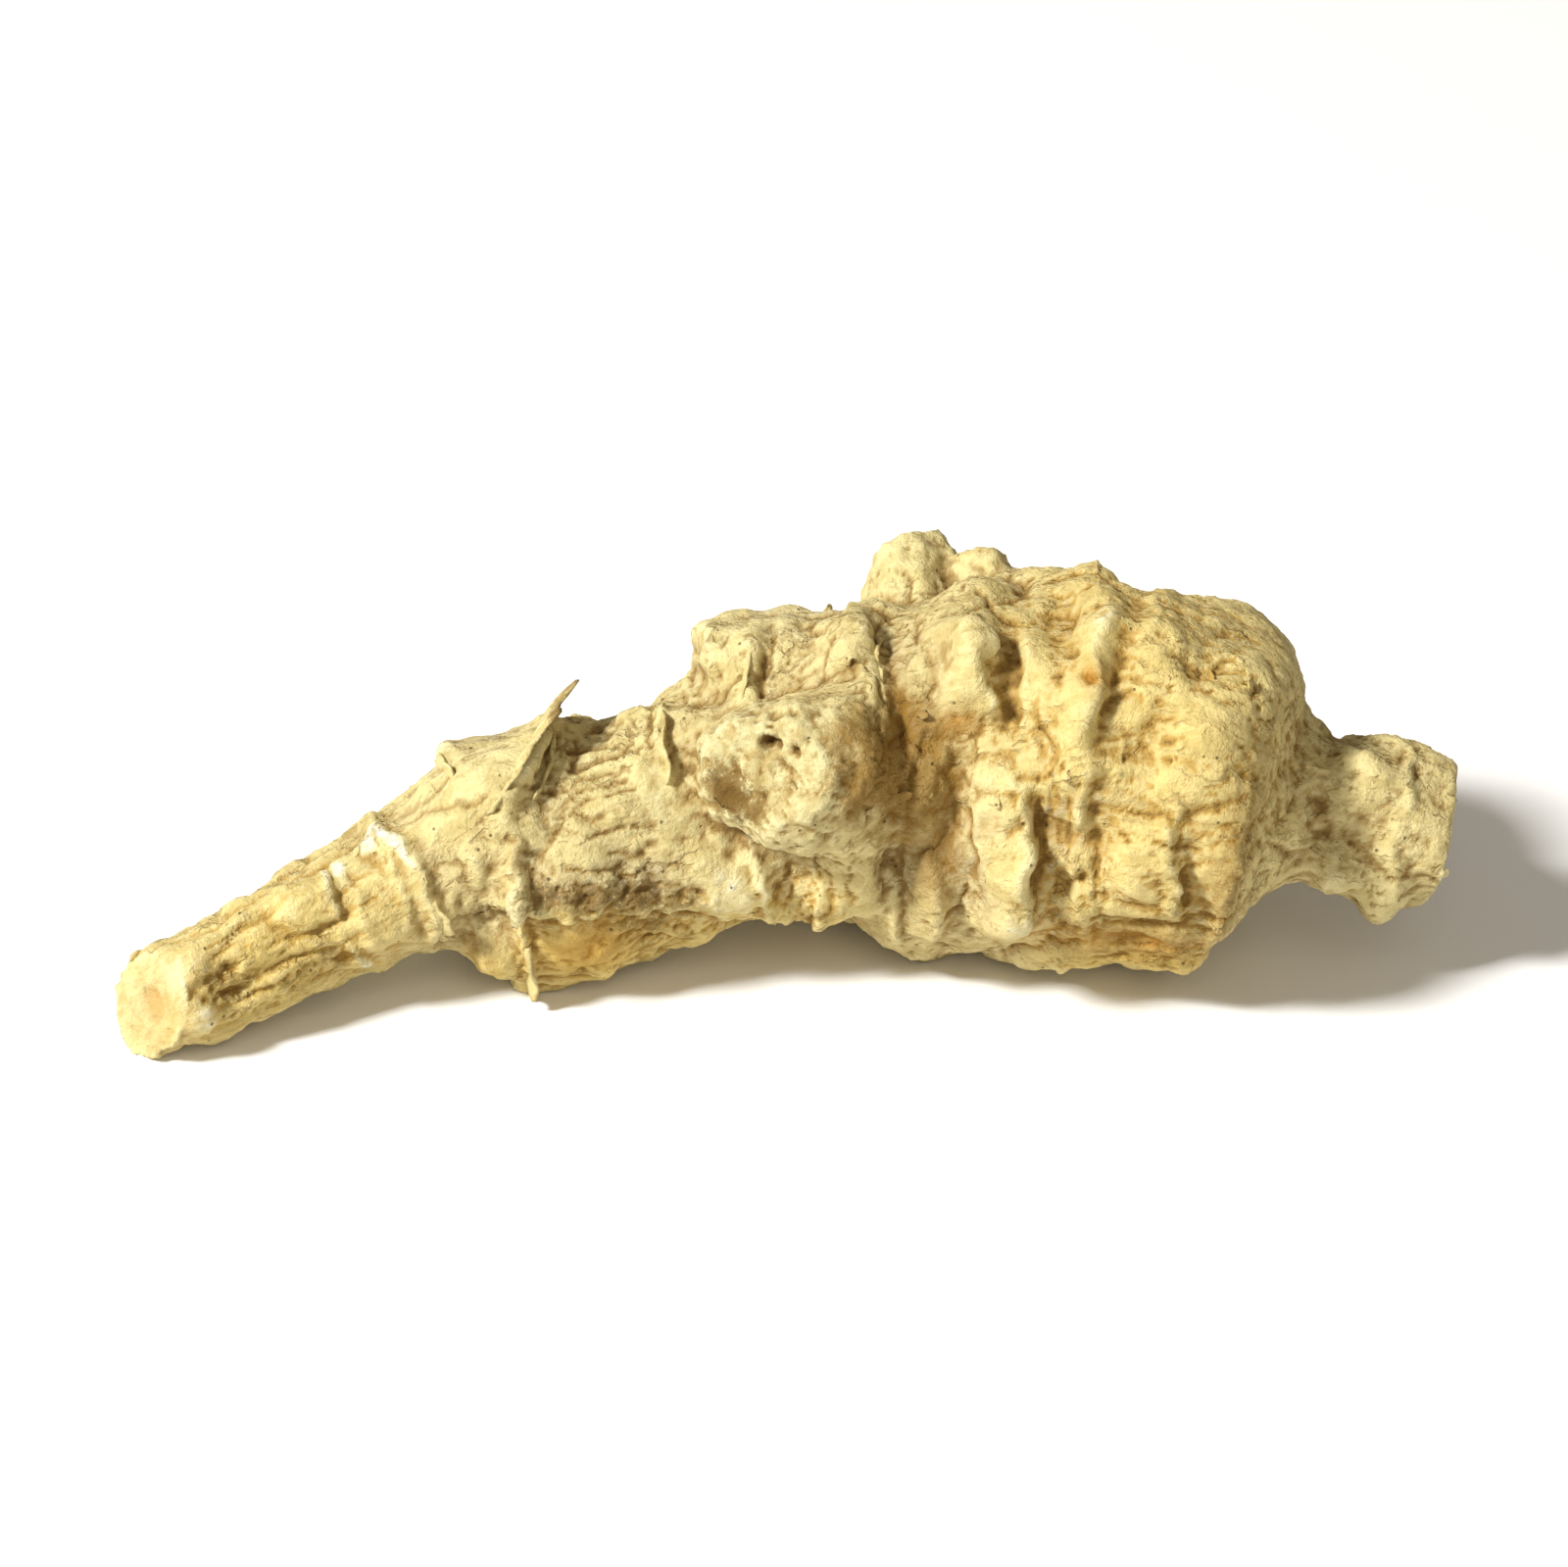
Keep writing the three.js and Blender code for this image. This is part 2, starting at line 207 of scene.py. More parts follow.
LOBES = (
    Lobe(10.4, 22, 0.8, 1.7, 24),
    Lobe(26.5, 150, 1.6, 3.8, 28),
    Lobe(40.6, 140, 0.5, 3.2, 34),
    Lobe(44.6, 130, 1.9, 1.9, 20),
    Lobe(46.5, -12, 0.7, 4.0, 26),
    Lobe(56.1, 21, 3.0, 1.7, 14),
    Lobe(54.6, 34, 0.8, 1.2, 8),
    Lobe(63.5, -22, 1.2, 1.8, 9),
    Lobe(57.6, 109, 1.7, 1.4, 8),
    Lobe(60.6, 76, -0.8, 4.4, 7),
    Lobe(52.9, 80, -1.4, 2.5, 20),
    Lobe(66.5, 128, 0.7, 6.0, 9),
    Lobe(74.5, 110, 2.9, 2.1, 30),
    Lobe(31, 250, 1.2, 3.5, 20),
    Lobe(64, 245, 0.9, 3.0, 16),
    Lobe(79.2, 108, 1.6, 1.5, 26),
    Lobe(82.4, 134, 1.2, 1.2, 22),
    Lobe(78.6, 200, 1.2, 1.4, 26),
    Lobe(80.6, 300, 1.4, 1.6, 24),
    Lobe(80.0, 20, 1.0, 1.3, 22),
)

RINGS = (
    Ring(17.6, 0, 0.7, 0.8, 1.5, 45, 110, 1),
    Ring(13.6, 0.6, 0.35, 0.7, 1.5, 60, 70, 1),
    Ring(20.9, 0.5, 0.6, 0.9, 1.5, 200, 120, -1),
    Ring(22.6, 0, 0.9, 0.9, 2.6, -14, 42, -1),
    Ring(26.0, -6, 1.3, 1.0, 2.2, 8, 36, 1),
    Ring(24.9, 1.9, 1.0, 0.9, 1.5, 90, 60, 1),
    Ring(35.6, -4.5, 0.9, 0.8, 2.2, 30, 34, 1),
    Ring(33.6, 0.8, 0.7, 1.0, 1.5, 230, 80, -1),
    Ring(41.2, 0.6, 2.6, 1.1, 4.4, -22, 34, -1),
    Ring(42.4, -2.6, 0.7, 0.7, 1.5, 8, 30, 1),
    Ring(44.0, 0.6, 0.6, 0.9, 1.5, 165, 60, 1),
    Ring(49.3, 0, 1.1, 1.0, 2.0, 18, 32, 1),
    Ring(50.6, 0, -1.2, 1.4, 1.2, 66, 70, 1),
    Ring(53.2, 0.4, 0.7, 0.9, 1.5, 110, 40, 1),
    Ring(52.4, 0.3, 0.7, 0.9, 1.5, 225, 90, -1),
    Ring(58.6, 0.5, -0.8, 1.1, 1.2, 22, 46, 1),
    Ring(59.2, 0.4, 1.6, 1.1, 2.2, 84, 26, 1),
    Ring(63.0, -3.6, 1.4, 1.1, 1.5, 32, 36, 1),
    Ring(63.2, 0.6, 0.8, 0.8, 1.5, 84, 34, 1),
    Ring(62.4, 0.5, 0.7, 0.9, 1.5, 250, 95, -1),
    Ring(68.4, 3.2, 0.7, 0.7, 1.5, 80, 26, 1),
    Ring(68.2, -0.4, 0.6, 0.8, 1.5, 300, 80, 1),
    Ring(72.4, 0.3, 0.4, 0.7, 1.5, 180, 150, 1),
    Ring(78.2, 0.2, -0.4, 0.8, 1.2, 90, 200, 1),
    Ring(82.6, 0.5, 0.4, 0.7, 1.5, 30, 150, 1),
)

LIPS = (
    Lip(17.9, 0, 70, 118, 0.9, 0.4),
    Lip(22.2, 0, -34, 16, 0.6, -0.3),
    Lip(26.4, -6, -4, 46, 0.5, 0.3),
    Lip(26.2, -7, -34, 38, 2.2, 2.2, 0.2),
    Lip(26.0, 1.9, 112, 160, 1.3, 0.5),
    Lip(36.2, -4.5, -12, 36, 0.4, 0.2),
    Lip(34.2, 0.8, 218, 264, 1.2, 0.5),
    Lip(41.2, 0.6, -44, -6, 0.7, -0.5),
    Lip(41.2, -5.2, -4, 30, 0.35, 0.3),
    Lip(49.4, -2.0, 0, 34, 0.4, 0.3),
    Lip(53.6, 0.3, 196, 244, 1.1, -0.5),
    Lip(63.6, 0.5, 232, 284, 1.0, -0.4),
)

FRONT_STUMP = Stump(52.3, 57.5, -0.74, 17.6, 6.2, 4.8, 2.0, -0.16)
BACK_STUMP = Stump(53.6, -54, -0.1, 16.4, 3.4, 3.6, 1.6, 0.3)
SMALL_STUMP = Stump(57.0, -46, -0.02, 15.2, 2.2, 2.2, 0.9, 0)
STUMPS = (FRONT_STUMP, BACK_STUMP, SMALL_STUMP)

# The edge of the ledge on the lower front: along, angle
LEDGE_EDGE = (
    (14, 80),
    (20, 86),
    (24.3, 92),
    (27.5, 90),
    (30.1, 91),
    (32.5, 96),
    (35.9, 114),
    (38, 122),
    (48, 128),
)

# Small bumps on the main form
BUMPS = (
    Lobe(25.1, 48, 0.55, 1.4, 10),
    Lobe(20.3, 30, 0.4, 1.5, 14),
    Lobe(14.2, 74, 0.4, 1.6, 22),
    Lobe(29.4, 58, 0.4, 1.3, 9),
    Lobe(31.4, 40, 0.35, 1.2, 9),
    Lobe(28.8, 112, 0.9, 2.4, 16),
    Lobe(36.6, 91, 0.9, 2.0, 20),
    Lobe(35.2, 100, 0.4, 0.9, 8),
    Lobe(40.4, 118, 0.5, 1.7, 12),
    Lobe(46.4, 115, 0.9, 2.2, 12),
    Lobe(53.4, 92, 0.8, 1.9, 15),
    Lobe(57.3, 37, 0.5, 0.9, 4.5),
    Lobe(54.0, 12, 0.5, 1.2, 6),
    Lobe(56.9, 59.5, 0.4, 1.0, 5),
    Lobe(59.4, 18, 0.6, 1.2, 9),
    Lobe(57.6, 67, 0.35, 1.0, 7),
    Lobe(53.8, 52.5, 0.7, 0.5, 3.5),
    Lobe(60.1, 30, 0.4, 0.9, 8),
    Lobe(60.0, 60, 0.45, 1.3, 6),
    Lobe(64.9, 40, 0.35, 1.2, 5),
    Lobe(66.6, 60, 0.5, 2.4, 6),
    Lobe(69.6, 43, 0.5, 1.6, 7),
    Lobe(65.4, 82, 0.4, 1.3, 10),
    Lobe(70.9, 84, 0.4, 1.3, 9),
    Lobe(58.9, 106, 0.5, 1.0, 5),
    Lobe(42.8, -36, 0.7, 1.1, 7),
    Lobe(45.4, -30, 0.6, 1.0, 6),
    Lobe(49.6, -34, 0.6, 1.3, 7),
    Lobe(23.2, 20, 0.4, 2.2, 12),
    Lobe(15.4, 44, 0.4, 1.6, 14),
    Lobe(21.8, 130, 1.0, 2.2, 16),
)

# Larger warts and worn ridges, on top of the lobes of the main form
WARTS = (
    Lobe(55.2, 26, 0.35, 2.2, 13),
    Lobe(10.4, 24, 0.3, 1.9, 26),
    Lobe(63.4, 22, 0.7, 1.1, 16),
    Lobe(62.2, 40, 0.6, 0.9, 13),
    Lobe(57.2, 82, 0.28, 1.4, 24),
    Lobe(47.4, 16, 0.5, 1.7, 10),
    Lobe(2.0, 92, 0.6, 1.0, 26),
    Lobe(2.6, 20, 0.4, 1.1, 24),
    Lobe(3.2, 150, 0.4, 1.2, 30),
)

# Ridges and creases drawn along the bark
LINES = (
    Line(((56.2, 13), (57.0, 20), (56.6, 27)), 0.7, 0.8, 1),
    Line(((56.3, 29), (56.9, 34), (57.4, 38)), 0.8, 0.7, 1),
    Line(((54.2, 42), (55.9, 45), (57.6, 43)), -0.3, 0.5),
    Line(((12.9, -10), (12.2, 34), (12.0, 60)), 0.5, 0.3, 1),
    Line(((11.9, 74), (12.6, 100), (13.4, 120)), 0.5, 0.35, 1),
    Line(((7.4, 78), (7.8, 122)), 0.3, 0.3, 1),
    Line(((7.2, 42), (8.9, 47), (10.5, 54), (12.8, 52), (15.6, 48)), -0.45, 0.26),
    Line(((8.3, 5), (8.1, 27), (8.8, 44)), -0.3, 0.3),
    Line(((3.9, 70), (6.5, 66), (9.5, 72), (11.4, 78)), -0.3, 0.22),
    Line(((2.8, 20), (6.0, 14), (8.4, 16)), -0.22, 0.2),
    Line(((18.3, 12), (19.9, 18), (22.8, 31), (26.1, 25), (29, 27), (32.5, 28)), -0.38, 0.2),
    Line(((24.2, 38), (23.8, 48), (24.6, 58), (26.2, 60), (27.1, 49), (26.2, 37)), -0.28, 0.24),
    Line(((19.4, 50), (21.0, 58), (20.6, 68)), -0.28, 0.26),
    Line(((21.8, 52), (22.3, 62), (21.6, 76)), 0.35, 0.3, 1),
    Line(((19.6, 72), (19.2, 82)), 0.3, 0.3, 1),
    Line(((28.2, 36), (29.8, 45), (31.6, 41)), -0.25, 0.22),
    Line(((30.2, 58), (31.8, 66), (33.6, 60)), -0.25, 0.22),
    Line(((28.6, 14), (31.4, 11), (35.0, 13)), -0.3, 0.16),
    Line(((28.2, 22), (31.0, 20), (34.2, 23)), -0.26, 0.14),
    Line(((29.4, 33), (31.6, 34), (33.8, 32)), -0.24, 0.14),
    Line(((27.6, 48), (29.6, 52), (32.0, 50), (34.0, 53)), -0.28, 0.16),
    Line(((27.4, 66), (29.4, 70), (31.6, 68)), -0.28, 0.18),
    Line(((36.8, 48), (39.4, 50), (41.6, 47)), -0.24, 0.16),
    Line(((37.6, 62), (39.0, 66), (41.4, 68)), -0.28, 0.16),
    Line(((36.6, 22), (38.4, 20), (40.2, 22)), -0.24, 0.16),
    Line(((43.6, 22), (45.6, 20), (47.2, 22)), -0.24, 0.16),
    Line(((31.4, 14), (34.6, 8)), -0.2, 0.2),
    Line(((26.6, 8), (28.4, 0), (32.4, 2)), -0.5, 0.4),
    Line(((38.4, 104), (38.7, 90), (37.8, 76)), 0.3, 0.3, 1),
    Line(((38.0, 84), (38.3, 104), (38.8, 132)), 0.6, 0.36, -1),
    Line(((43.6, 100), (43.4, 116), (43.8, 134)), 0.5, 0.36, -1),
    Line(((36.9, -14), (35.4, 10), (34.4, 34)), -0.5, 0.3),
    Line(((53.4, 60), (54.2, 65.7), (55.3, 64.4), (56.2, 61.8), (57.0, 60.4), (57.7, 58.4)), 0.25, 0.5),
    Line(((57.4, 58), (58.9, 62.9), (60.8, 61.2), (62.7, 54.9)), 0.35, 0.5, -1),
    Line(((61.4, 62), (63.4, 57), (66.4, 56)), 0.3, 0.4),
    Line(((43.0, -3), (42.2, 14), (41.3, 31)), -0.5, 0.24),
    Line(((45.9, 18), (46.6, 12), (48.3, 6)), 0.4, 0.4, -1),
    Line(((50.9, 30), (51.1, 45), (51.7, 56), (51.2, 80), (50.5, 104)), -0.4, 0.28),
    Line(((50.4, 96), (50.5, 112), (51.0, 130)), 0.6, 0.36, 1),
    Line(((51.7, 70), (55.7, 71), (56.3, 88), (55.0, 108), (52.2, 114)), -0.35, 0.26),
    Line(((54.4, 58.5), (56.6, 64), (60, 65), (64.8, 69)), -0.22, 0.5),
    Line(((58.9, 0), (59.6, 22), (59.3, 47)), 0.35, 0.35, 1),
    Line(((58.4, 60), (59.0, 67), (58.8, 75), (59.6, 83), (59.0, 92), (59.2, 99)), 0.6, 0.6, 1),
    Line(((60.3, 66), (60.0, 76), (60.7, 84), (60.2, 94)), -0.5, 0.3),
    Line(((55.9, 70), (56.6, 84), (57.2, 100)), 0.3, 0.4, -1),
    Line(((63.5, 36), (65.2, 31), (66.4, 35), (65.4, 46)), 0.3, 0.3),
    Line(((66.0, 51), (69.2, 50)), 0.45, 0.45),
    Line(((65.2, 75), (66.2, 79)), -0.25, 0.25),
    Line(((67.4, 69), (70, 65.5), (72.4, 60)), -0.25, 0.5),
    Line(((67.4, 66), (67.7, 78), (68.8, 93), (69.3, 104)), 0.6, 0.42, 1),
    Line(((62.0, 51), (62.3, 65)), 0.35, 0.3, 1),
    Line(((62.5, 66), (62.8, 77)), 0.6, 0.4, 1),
    Line(((63.4, 79), (63.5, 90), (63.9, 102)), 0.5, 0.35, 1),
    Line(((48.4, 2), (48.9, 14), (48.8, 24), (48.5, 34)), 1.1, 0.8, 1),
    Line(((17.5, -25), (17.1, 9), (16.6, 42), (16.1, 75), (16.2, 112)), 0.3, 0.3, 1),
    Line(((68.2, 69), (68.4, 80), (69.5, 94), (69.9, 104)), -0.35, 0.3),
    Line(((60.9, 114), (63.4, 107), (68, 105), (72.2, 101), (75, 100)), -0.35, 0.5),
    Line(((62.0, 55), (62.1, 68), (62.2, 80)), -0.3, 0.25),
    Line(((64.1, 92), (64.0, 106)), 0.45, 0.35, 1),
    Line(((56.2, -12), (57.5, 2), (59.4, 8)), -0.3, 0.3),
    Line(((66.5, -15), (67.0, 0), (66.3, 18)), 0.35, 0.35, 1),
)

# Patches of colour
PATCHES = {
    Tint.PALE: (
        Patch(16.2, 8, 0.9, 16, 1.5),
        Patch(13.5, 12, 1.0, 14, 1.5),
        Patch(17.5, 30, 0.6, 22, 0.8),
        Patch(2.2, 88, 0.9, 30, 0.8),
        Patch(12.9, 108, 0.7, 14, 0.8),
        Patch(36.6, 92, 1.9, 19, 0.95),
        Patch(34.3, 70, 0.9, 7, 0.6),
        Patch(9.6, 24, 1.0, 13, 0.5),
        Patch(46.4, 113, 1.8, 10, 0.6),
        Patch(53.8, 52.5, 0.6, 4, 0.6),
        Patch(57.1, 19, 0.6, 4, 0.5),
        Patch(57.2, 36.5, 0.6, 3, 0.5),
        Patch(63.6, 10, 0.9, 8, 0.7),
        Patch(58.9, 105, 1.0, 5, 0.7),
        Patch(78.5, 98, 1.2, 30, 0.6),
        Patch(24.4, 138, 0.7, 14, 0.8),
        Patch(1.6, 25, 0.9, 24, 0.7),
        Patch(7.0, 20, 8.0, 60, 0.3),
    ),
    Tint.RESIN: (
        Patch(54.9, 42, 1.5, 3.6, 0.75),
        Patch(62.8, 32.6, 0.55, 2.8, 0.9),
        Patch(28.8, 112, 2.0, 12, 0.5),
        Patch(24.0, 62, 0.5, 8, 0.35),
        # Painted shadow: the golden line along the lower edge of the shoulder
        Patch(66, 114, 5.5, 5, 0.4),
    ),
    Tint.GOLD: (
        Patch(21.8, 132, 2.0, 14, 0.9),
        Patch(28.8, 112, 3.2, 18, 1.0),
        # Painted shade: the golden band along the lower side of the shoulder
        Patch(67, 124, 7.0, 14, 0.9),
        Patch(66, 45, 9.0, 90, 0.55),
        Patch(7, 60, 8.0, 90, 0.8),
    ),
    Tint.BROWN: (
        Patch(20.4, 118, 1.7, 12, 0.6),
        # Painted shadow of the front stump on the bark below it
        Patch(53.5, 86, 2.5, 20, 0.95),
        # Painted shade on the lower side of the shoulder
        Patch(67, 113, 7.0, 13, 0.7),
        # Painted shade where the crown end turns away from the light
        Patch(72.4, 80, 2.4, 40, 0.65),
        Patch(60.2, 84, 0.6, 14, 0.5),
        Patch(30, 112, 4.0, 12, 0.45),
        Patch(3.6, 58, 1.5, 24, 0.35),
        # Painted shadow of the front stump beside it
        Patch(52.6, 68, 1.2, 12, 0.6),
    ),
    Tint.DUST: (
        Patch(51.2, 46, 1.1, 26, 0.9),
        Patch(51.2, 88, 1.2, 24, 0.7),
        Patch(38.4, 66, 2.0, 16, 0.6),
        Patch(60.8, 67, 3.2, 4.5, 0.9),
        Patch(62.0, 76, 0.9, 9, 0.6),
        Patch(57.5, 106, 1.1, 8, 0.7),
        Patch(45, -22, 4.5, 16, 0.6),
        Patch(23.4, -20, 2.0, 18, 0.8),
        Patch(40.8, 118, 2.2, 16, 0.6),
        Patch(18.6, 40, 1.0, 16, 0.6),
        Patch(12.9, 92, 0.8, 12, 0.5),
        Patch(30.0, 80, 5.0, 13, 1.0),
        # Painted shadow of the front stump on the bark below it, in grey
        Patch(56.5, 84, 3.0, 20, 0.9),
    ),
    Tint.DARK: (
        # Painted shadow of the tall bark lip beside it
        Patch(28.2, -3, 1.2, 4, 0.6),
        Patch(26.2, 79, 2.2, 11, 0.75),
        Patch(28.8, 81, 2.4, 11, 0.9),
        Patch(31.5, 86, 2.4, 11, 0.9),
        Patch(33.6, 94, 1.8, 9, 0.75),
        Patch(32.0, 104, 2.6, 9, 0.6),
        Patch(21.0, 92, 2.4, 8, 0.6),
        Patch(32.5, 112, 1.2, 5, 0.6),
    ),
}

# Hollows in the front stump's cut end, tinted darker: to the right, up, reach, depth, strength
FACE_HOLLOWS = (
    (-2.8, -1.3, 2.1, 0.6, 1.1),
    (-1.1, -2.4, 1.4, 0.55, 0.85),
    (0.2, 1.9, 0.5, 1.1, 1.6),
    (0.9, 1.75, 0.4, 1.0, 1.6),
    (2.3, 1.2, 0.45, 0.6, 1.0),
    (3.6, -2.9, 0.7, 0.5, 0.7),
    (1.2, -0.6, 1.8, 0.35, 0.35),
    (0.4, 2.9, 0.3, 0.4, 1.0),
    (6.3, -0.6, 2.6, 0.3, 0.5),
    (0.8, 1.2, 1.2, 0.35, 0.3),
    (3.4, 2.2, 0.5, 0.4, 0.6),
)

# Hollows in the skin: along, angle, reach, depth, tint, strength
SKIN_HOLLOWS = (
    (63.2, 32.0, 0.9, 0.8, Tint.RESIN, 1.2),
    (62.0, 22.0, 0.5, 0.5, Tint.DARK, 0.5),
    (81.2, -48.0, 1.6, 1.1, Tint.DARK, 0.6),
    (11.5, 91.0, 0.6, 0.3, Tint.BROWN, 1.3),
)


def bell(distance: Value, reach: Value) -> Array:
    """A smooth hump that is 1 at no distance and fades over the reach."""
    return np.exp(-((distance / reach) ** 2))


def ramp(value: Value, low: float, high: float) -> Array:
    """A smooth step from 0 at low to 1 at high, or the other way round where low is above high."""
    t = np.clip((value - low) / (high - low), 0, 1)
    return t * t * (3 - 2 * t)


def turn_between(angle: Value, other: Value) -> Array:
    """The signed turn from the other angle to this one, in degrees from -180 to 180."""
    return (angle - other + 180) % 360 - 180


def unit(vectors: Array) -> Array:
    """Vectors of length one in the directions of the given ones."""
    return vectors / (np.linalg.norm(vectors, axis=-1, keepdims=True) + 1e-12)


def hump(spot: Lobe | Patch, along: Value, angle: Value) -> Array:
    """A smooth hump over a lobe or a patch, 1 at its middle."""
    return bell(along - spot.at, spot.length) * bell(turn_between(angle, spot.angle), spot.spread)


def linear(hex_colour: str) -> Colour:
    """A colour such as #EAD09A as linear red, green, blue and alpha.

    Args:
        hex_colour: the colour as it is seen, two digits for each part.

    Returns:
        The linear colour.
    """
    parts = [int(hex_colour[i : i + 2], 16) / 255 for i in (1, 3, 5)]
    red, green, blue = (c / 12.92 if c <= 0.04045 else ((c + 0.055) / 1.055) ** 2.4 for c in parts)
    return red, green, blue, 1.0


class Noise:
    """Seeded gradient noise in three dimensions, for many points at once."""

    SIZE = 256

    def __init__(self, seed: int) -> None:
        """Draws the tables.

        Args:
            seed: the number that every draw follows from.
        """
        draw = np.random.default_rng(seed)
        self.order = draw.permutation(self.SIZE)
        self.gradients = unit(draw.normal(size=(self.SIZE, 3)))

    def key(self, cell: Array) -> Array:
        """The table entry of each whole-numbered cell.

        Args:
            cell: three whole numbers a row.

        Returns:
            One whole number for each row.
        """
        key = 0
        for column in cell.T:
            key = self.order[(key + column) & (self.SIZE - 1)]
        return key

    def smooth(self, points: Array) -> Array:
        """Gradient noise from about -1 to 1, with features about one unit across.

        Args:
            points: where the noise is read, one place a row.

        Returns:
            One number for each place.
        """
        cell = np.floor(points).astype(int)
        part = points - cell
        ease = part**3 * (part * (part * 6 - 15) + 10)
        total = np.zeros(len(points))
        for corner in product((0, 1), repeat=3):
            offset = np.array(corner)
            slope = ((part - offset) * self.gradients[self.key(cell + offset)]).sum(axis=1)
            total += slope * np.prod(np.where(offset, ease, 1 - ease), axis=1)
        return 1.6 * total

    def layered(self, points: Array, layers: int, gain: float = 0.5) -> Array:
        """Gradient noise with finer layers added.

        Args:
            points: where the noise is read, one place a row.
            layers: how many there are.
            gain: each layer's height beside the one before.

        Returns:
            One number for each place.
        """
        total = np.zeros(len(points))
        height = 1.0
        for i in range(layers):
            total += height * self.smooth(points * 2.03**i + 17.3 * i)
            height *= gain
        return total

    def creased(self, points: Array, layers: int = 2) -> Array:
        """Sharp crests, 1 on the crest and falling to 0 between them.

        Args:
            points: where the noise is read, one place a row.
            layers: how many there are.

        Returns:
            One number for each place.
        """
        total = np.zeros(len(points))
        height = 1.0
        for i in range(layers):
            crest = 1 - np.abs(self.smooth(points * 2.1**i + 9.1 * i)) * 1.6
            total += height * np.clip(crest, 0, 1) ** 2
            height *= 0.45
        return total


@dataclass(frozen=True)
class RootForm:
    """The root's main form: a bent centre line, and the distance from it to the skin."""

    axis_reach: float = 1.5
    full_radius: float = 11.0
    locate_rounds: int = 8
    locate_step: float = 0.8

    @staticmethod
    def column(index: int, along: Array) -> Array:
        """A smooth curve through one column of the stations.

        Args:
            index: the column.
            along: distances along the body.

        Returns:
            The value at each distance.
        """
        x, y = STATIONS[:, 0], STATIONS[:, index]
        slope = np.gradient(y)
        slope[1:-1] = (y[2:] - y[:-2]) / (x[2:] - x[:-2])
        slope[0] = (y[1] - y[0]) / (x[1] - x[0])
        slope[-1] = (y[-1] - y[-2]) / (x[-1] - x[-2])
        i = np.clip(np.searchsorted(x, along) - 1, 0, len(x) - 2)
        span = x[i + 1] - x[i]
        t = (along - x[i]) / span
        rise = (1 - t) ** 2 * (1 + 2 * t) * y[i] + t**2 * (3 - 2 * t) * y[i + 1]
        return rise + span * t * (1 - t) * ((1 - t) * slope[i] - t * slope[i + 1])

    def centre(self, along: Array) -> Array:
        """Points on the centre line."""
        return np.stack([along, self.column(1, along), self.column(2, along)], axis=-1)

    def axes(self, along: Array) -> tuple[Array, Array, Array]:
        """The forward, front and up directions of the cross-sections.

        Args:
            along: distances along the body.

        Returns:
            The three directions at each distance.
        """
        forward = unit(self.centre(along + self.axis_reach) - self.centre(along - self.axis_reach))
        front = unit(np.cross(forward, np.array([0.0, 0.0, 1.0])))
        return forward, front, np.cross(front, forward)

    @staticmethod
    def ring_place(ring: Ring, along: Array, angle: Array) -> tuple[Array, Array]:
        """Where points lie by a ring: the distance past its crest, and how much of it is left there.

        Args:
            ring: the ring.
            along: distances along the body.
            angle: angles round it.

        Returns:
            The distances, and the parts from 0 to 1.
        """
        turn = turn_between(angle, ring.angle)
        turned = np.radians(angle)
        wander = 0.35 * np.sin(3 * turned + ring.at) + 0.2 * np.sin(7 * turned + 2 * ring.at)
        return along - ring.at - ring.drift * turn / 90 - wander, bell(turn, ring.arc) ** 1.5

    def ring_height(self, ring: Ring, along: Array, angle: Array) -> Array:
        """How far one ring ridge lifts the skin.

        Args:
            ring: the ring.
            along: distances along the body.
            angle: angles round it.

        Returns:
            The lift at each point.
        """
        off, left = self.ring_place(ring, along, angle)
        reach = np.where(off * ring.steep > 0, STEEP, ring.slope) * ring.width
        return ring.height * bell(off, reach) * left

    def radius(self, along: Array, angle: Array) -> Array:
        """The distance from the centre line to the skin, without ring ridges.

        Args:
            along: distances along the body.
            angle: angles round it.

        Returns:
            The distance at each point.
        """
        turn = np.radians(angle)
        width, height = self.column(3, along), self.column(4, along)
        radius = 1 / np.hypot(np.sin(turn) / width, np.cos(turn) / height)
        size = np.minimum(radius / self.full_radius, 1)
        for rise, wave, folds, phase, start in SWELLINGS:
            swell = np.sin(2 * np.pi * along / wave + phase) * np.cos(folds * turn + start)
            radius = radius + size * rise * swell
        for lobe in LOBES:
            radius = radius + lobe.height * hump(lobe, along, angle)
        return radius

    def rings(self, along: Array, angle: Array) -> Array:
        """How far all the ring ridges lift the skin."""
        return sum(self.ring_height(ring, along, angle) for ring in RINGS)

    def surface(self, along: Array, angle: Array, lift: Value = 0.0, lean: Value = 0.0) -> Array:
        """Points on the skin, ring ridges included, lifted off it and moved along the body.

        Args:
            along: distances along the body.
            angle: angles round it.
            lift: how far they stand off the skin.
            lean: how far they are moved towards the crown.

        Returns:
            The points.
        """
        forward, front, up = self.axes(along)
        reach = (self.radius(along, angle) + self.rings(along, angle) + lift)[..., None]
        turn = np.radians(angle)[..., None]
        across = np.cos(turn) * up + np.sin(turn) * front
        return self.centre(along) + reach * across + np.asarray(lean)[..., None] * forward

    def locate(self, points: Array) -> tuple[Array, Array, Array]:
        """Where points lie on the body.

        Args:
            points: positions near the body.

        Returns:
            The distance along, the angle and the distance from the centre line.
        """
        along = np.clip(points[:, 0], TIP_START, CROWN_END)
        for _ in range(self.locate_rounds):
            forward, _, _ = self.axes(along)
            step = ((points - self.centre(along)) * forward).sum(axis=1)
            along = np.clip(along + self.locate_step * step, TIP_START, CROWN_END)
        _, front, up = self.axes(along)
        off = points - self.centre(along)
        aside, above = (off * front).sum(axis=1), (off * up).sum(axis=1)
        return along, np.degrees(np.arctan2(aside, above)), np.hypot(aside, above)


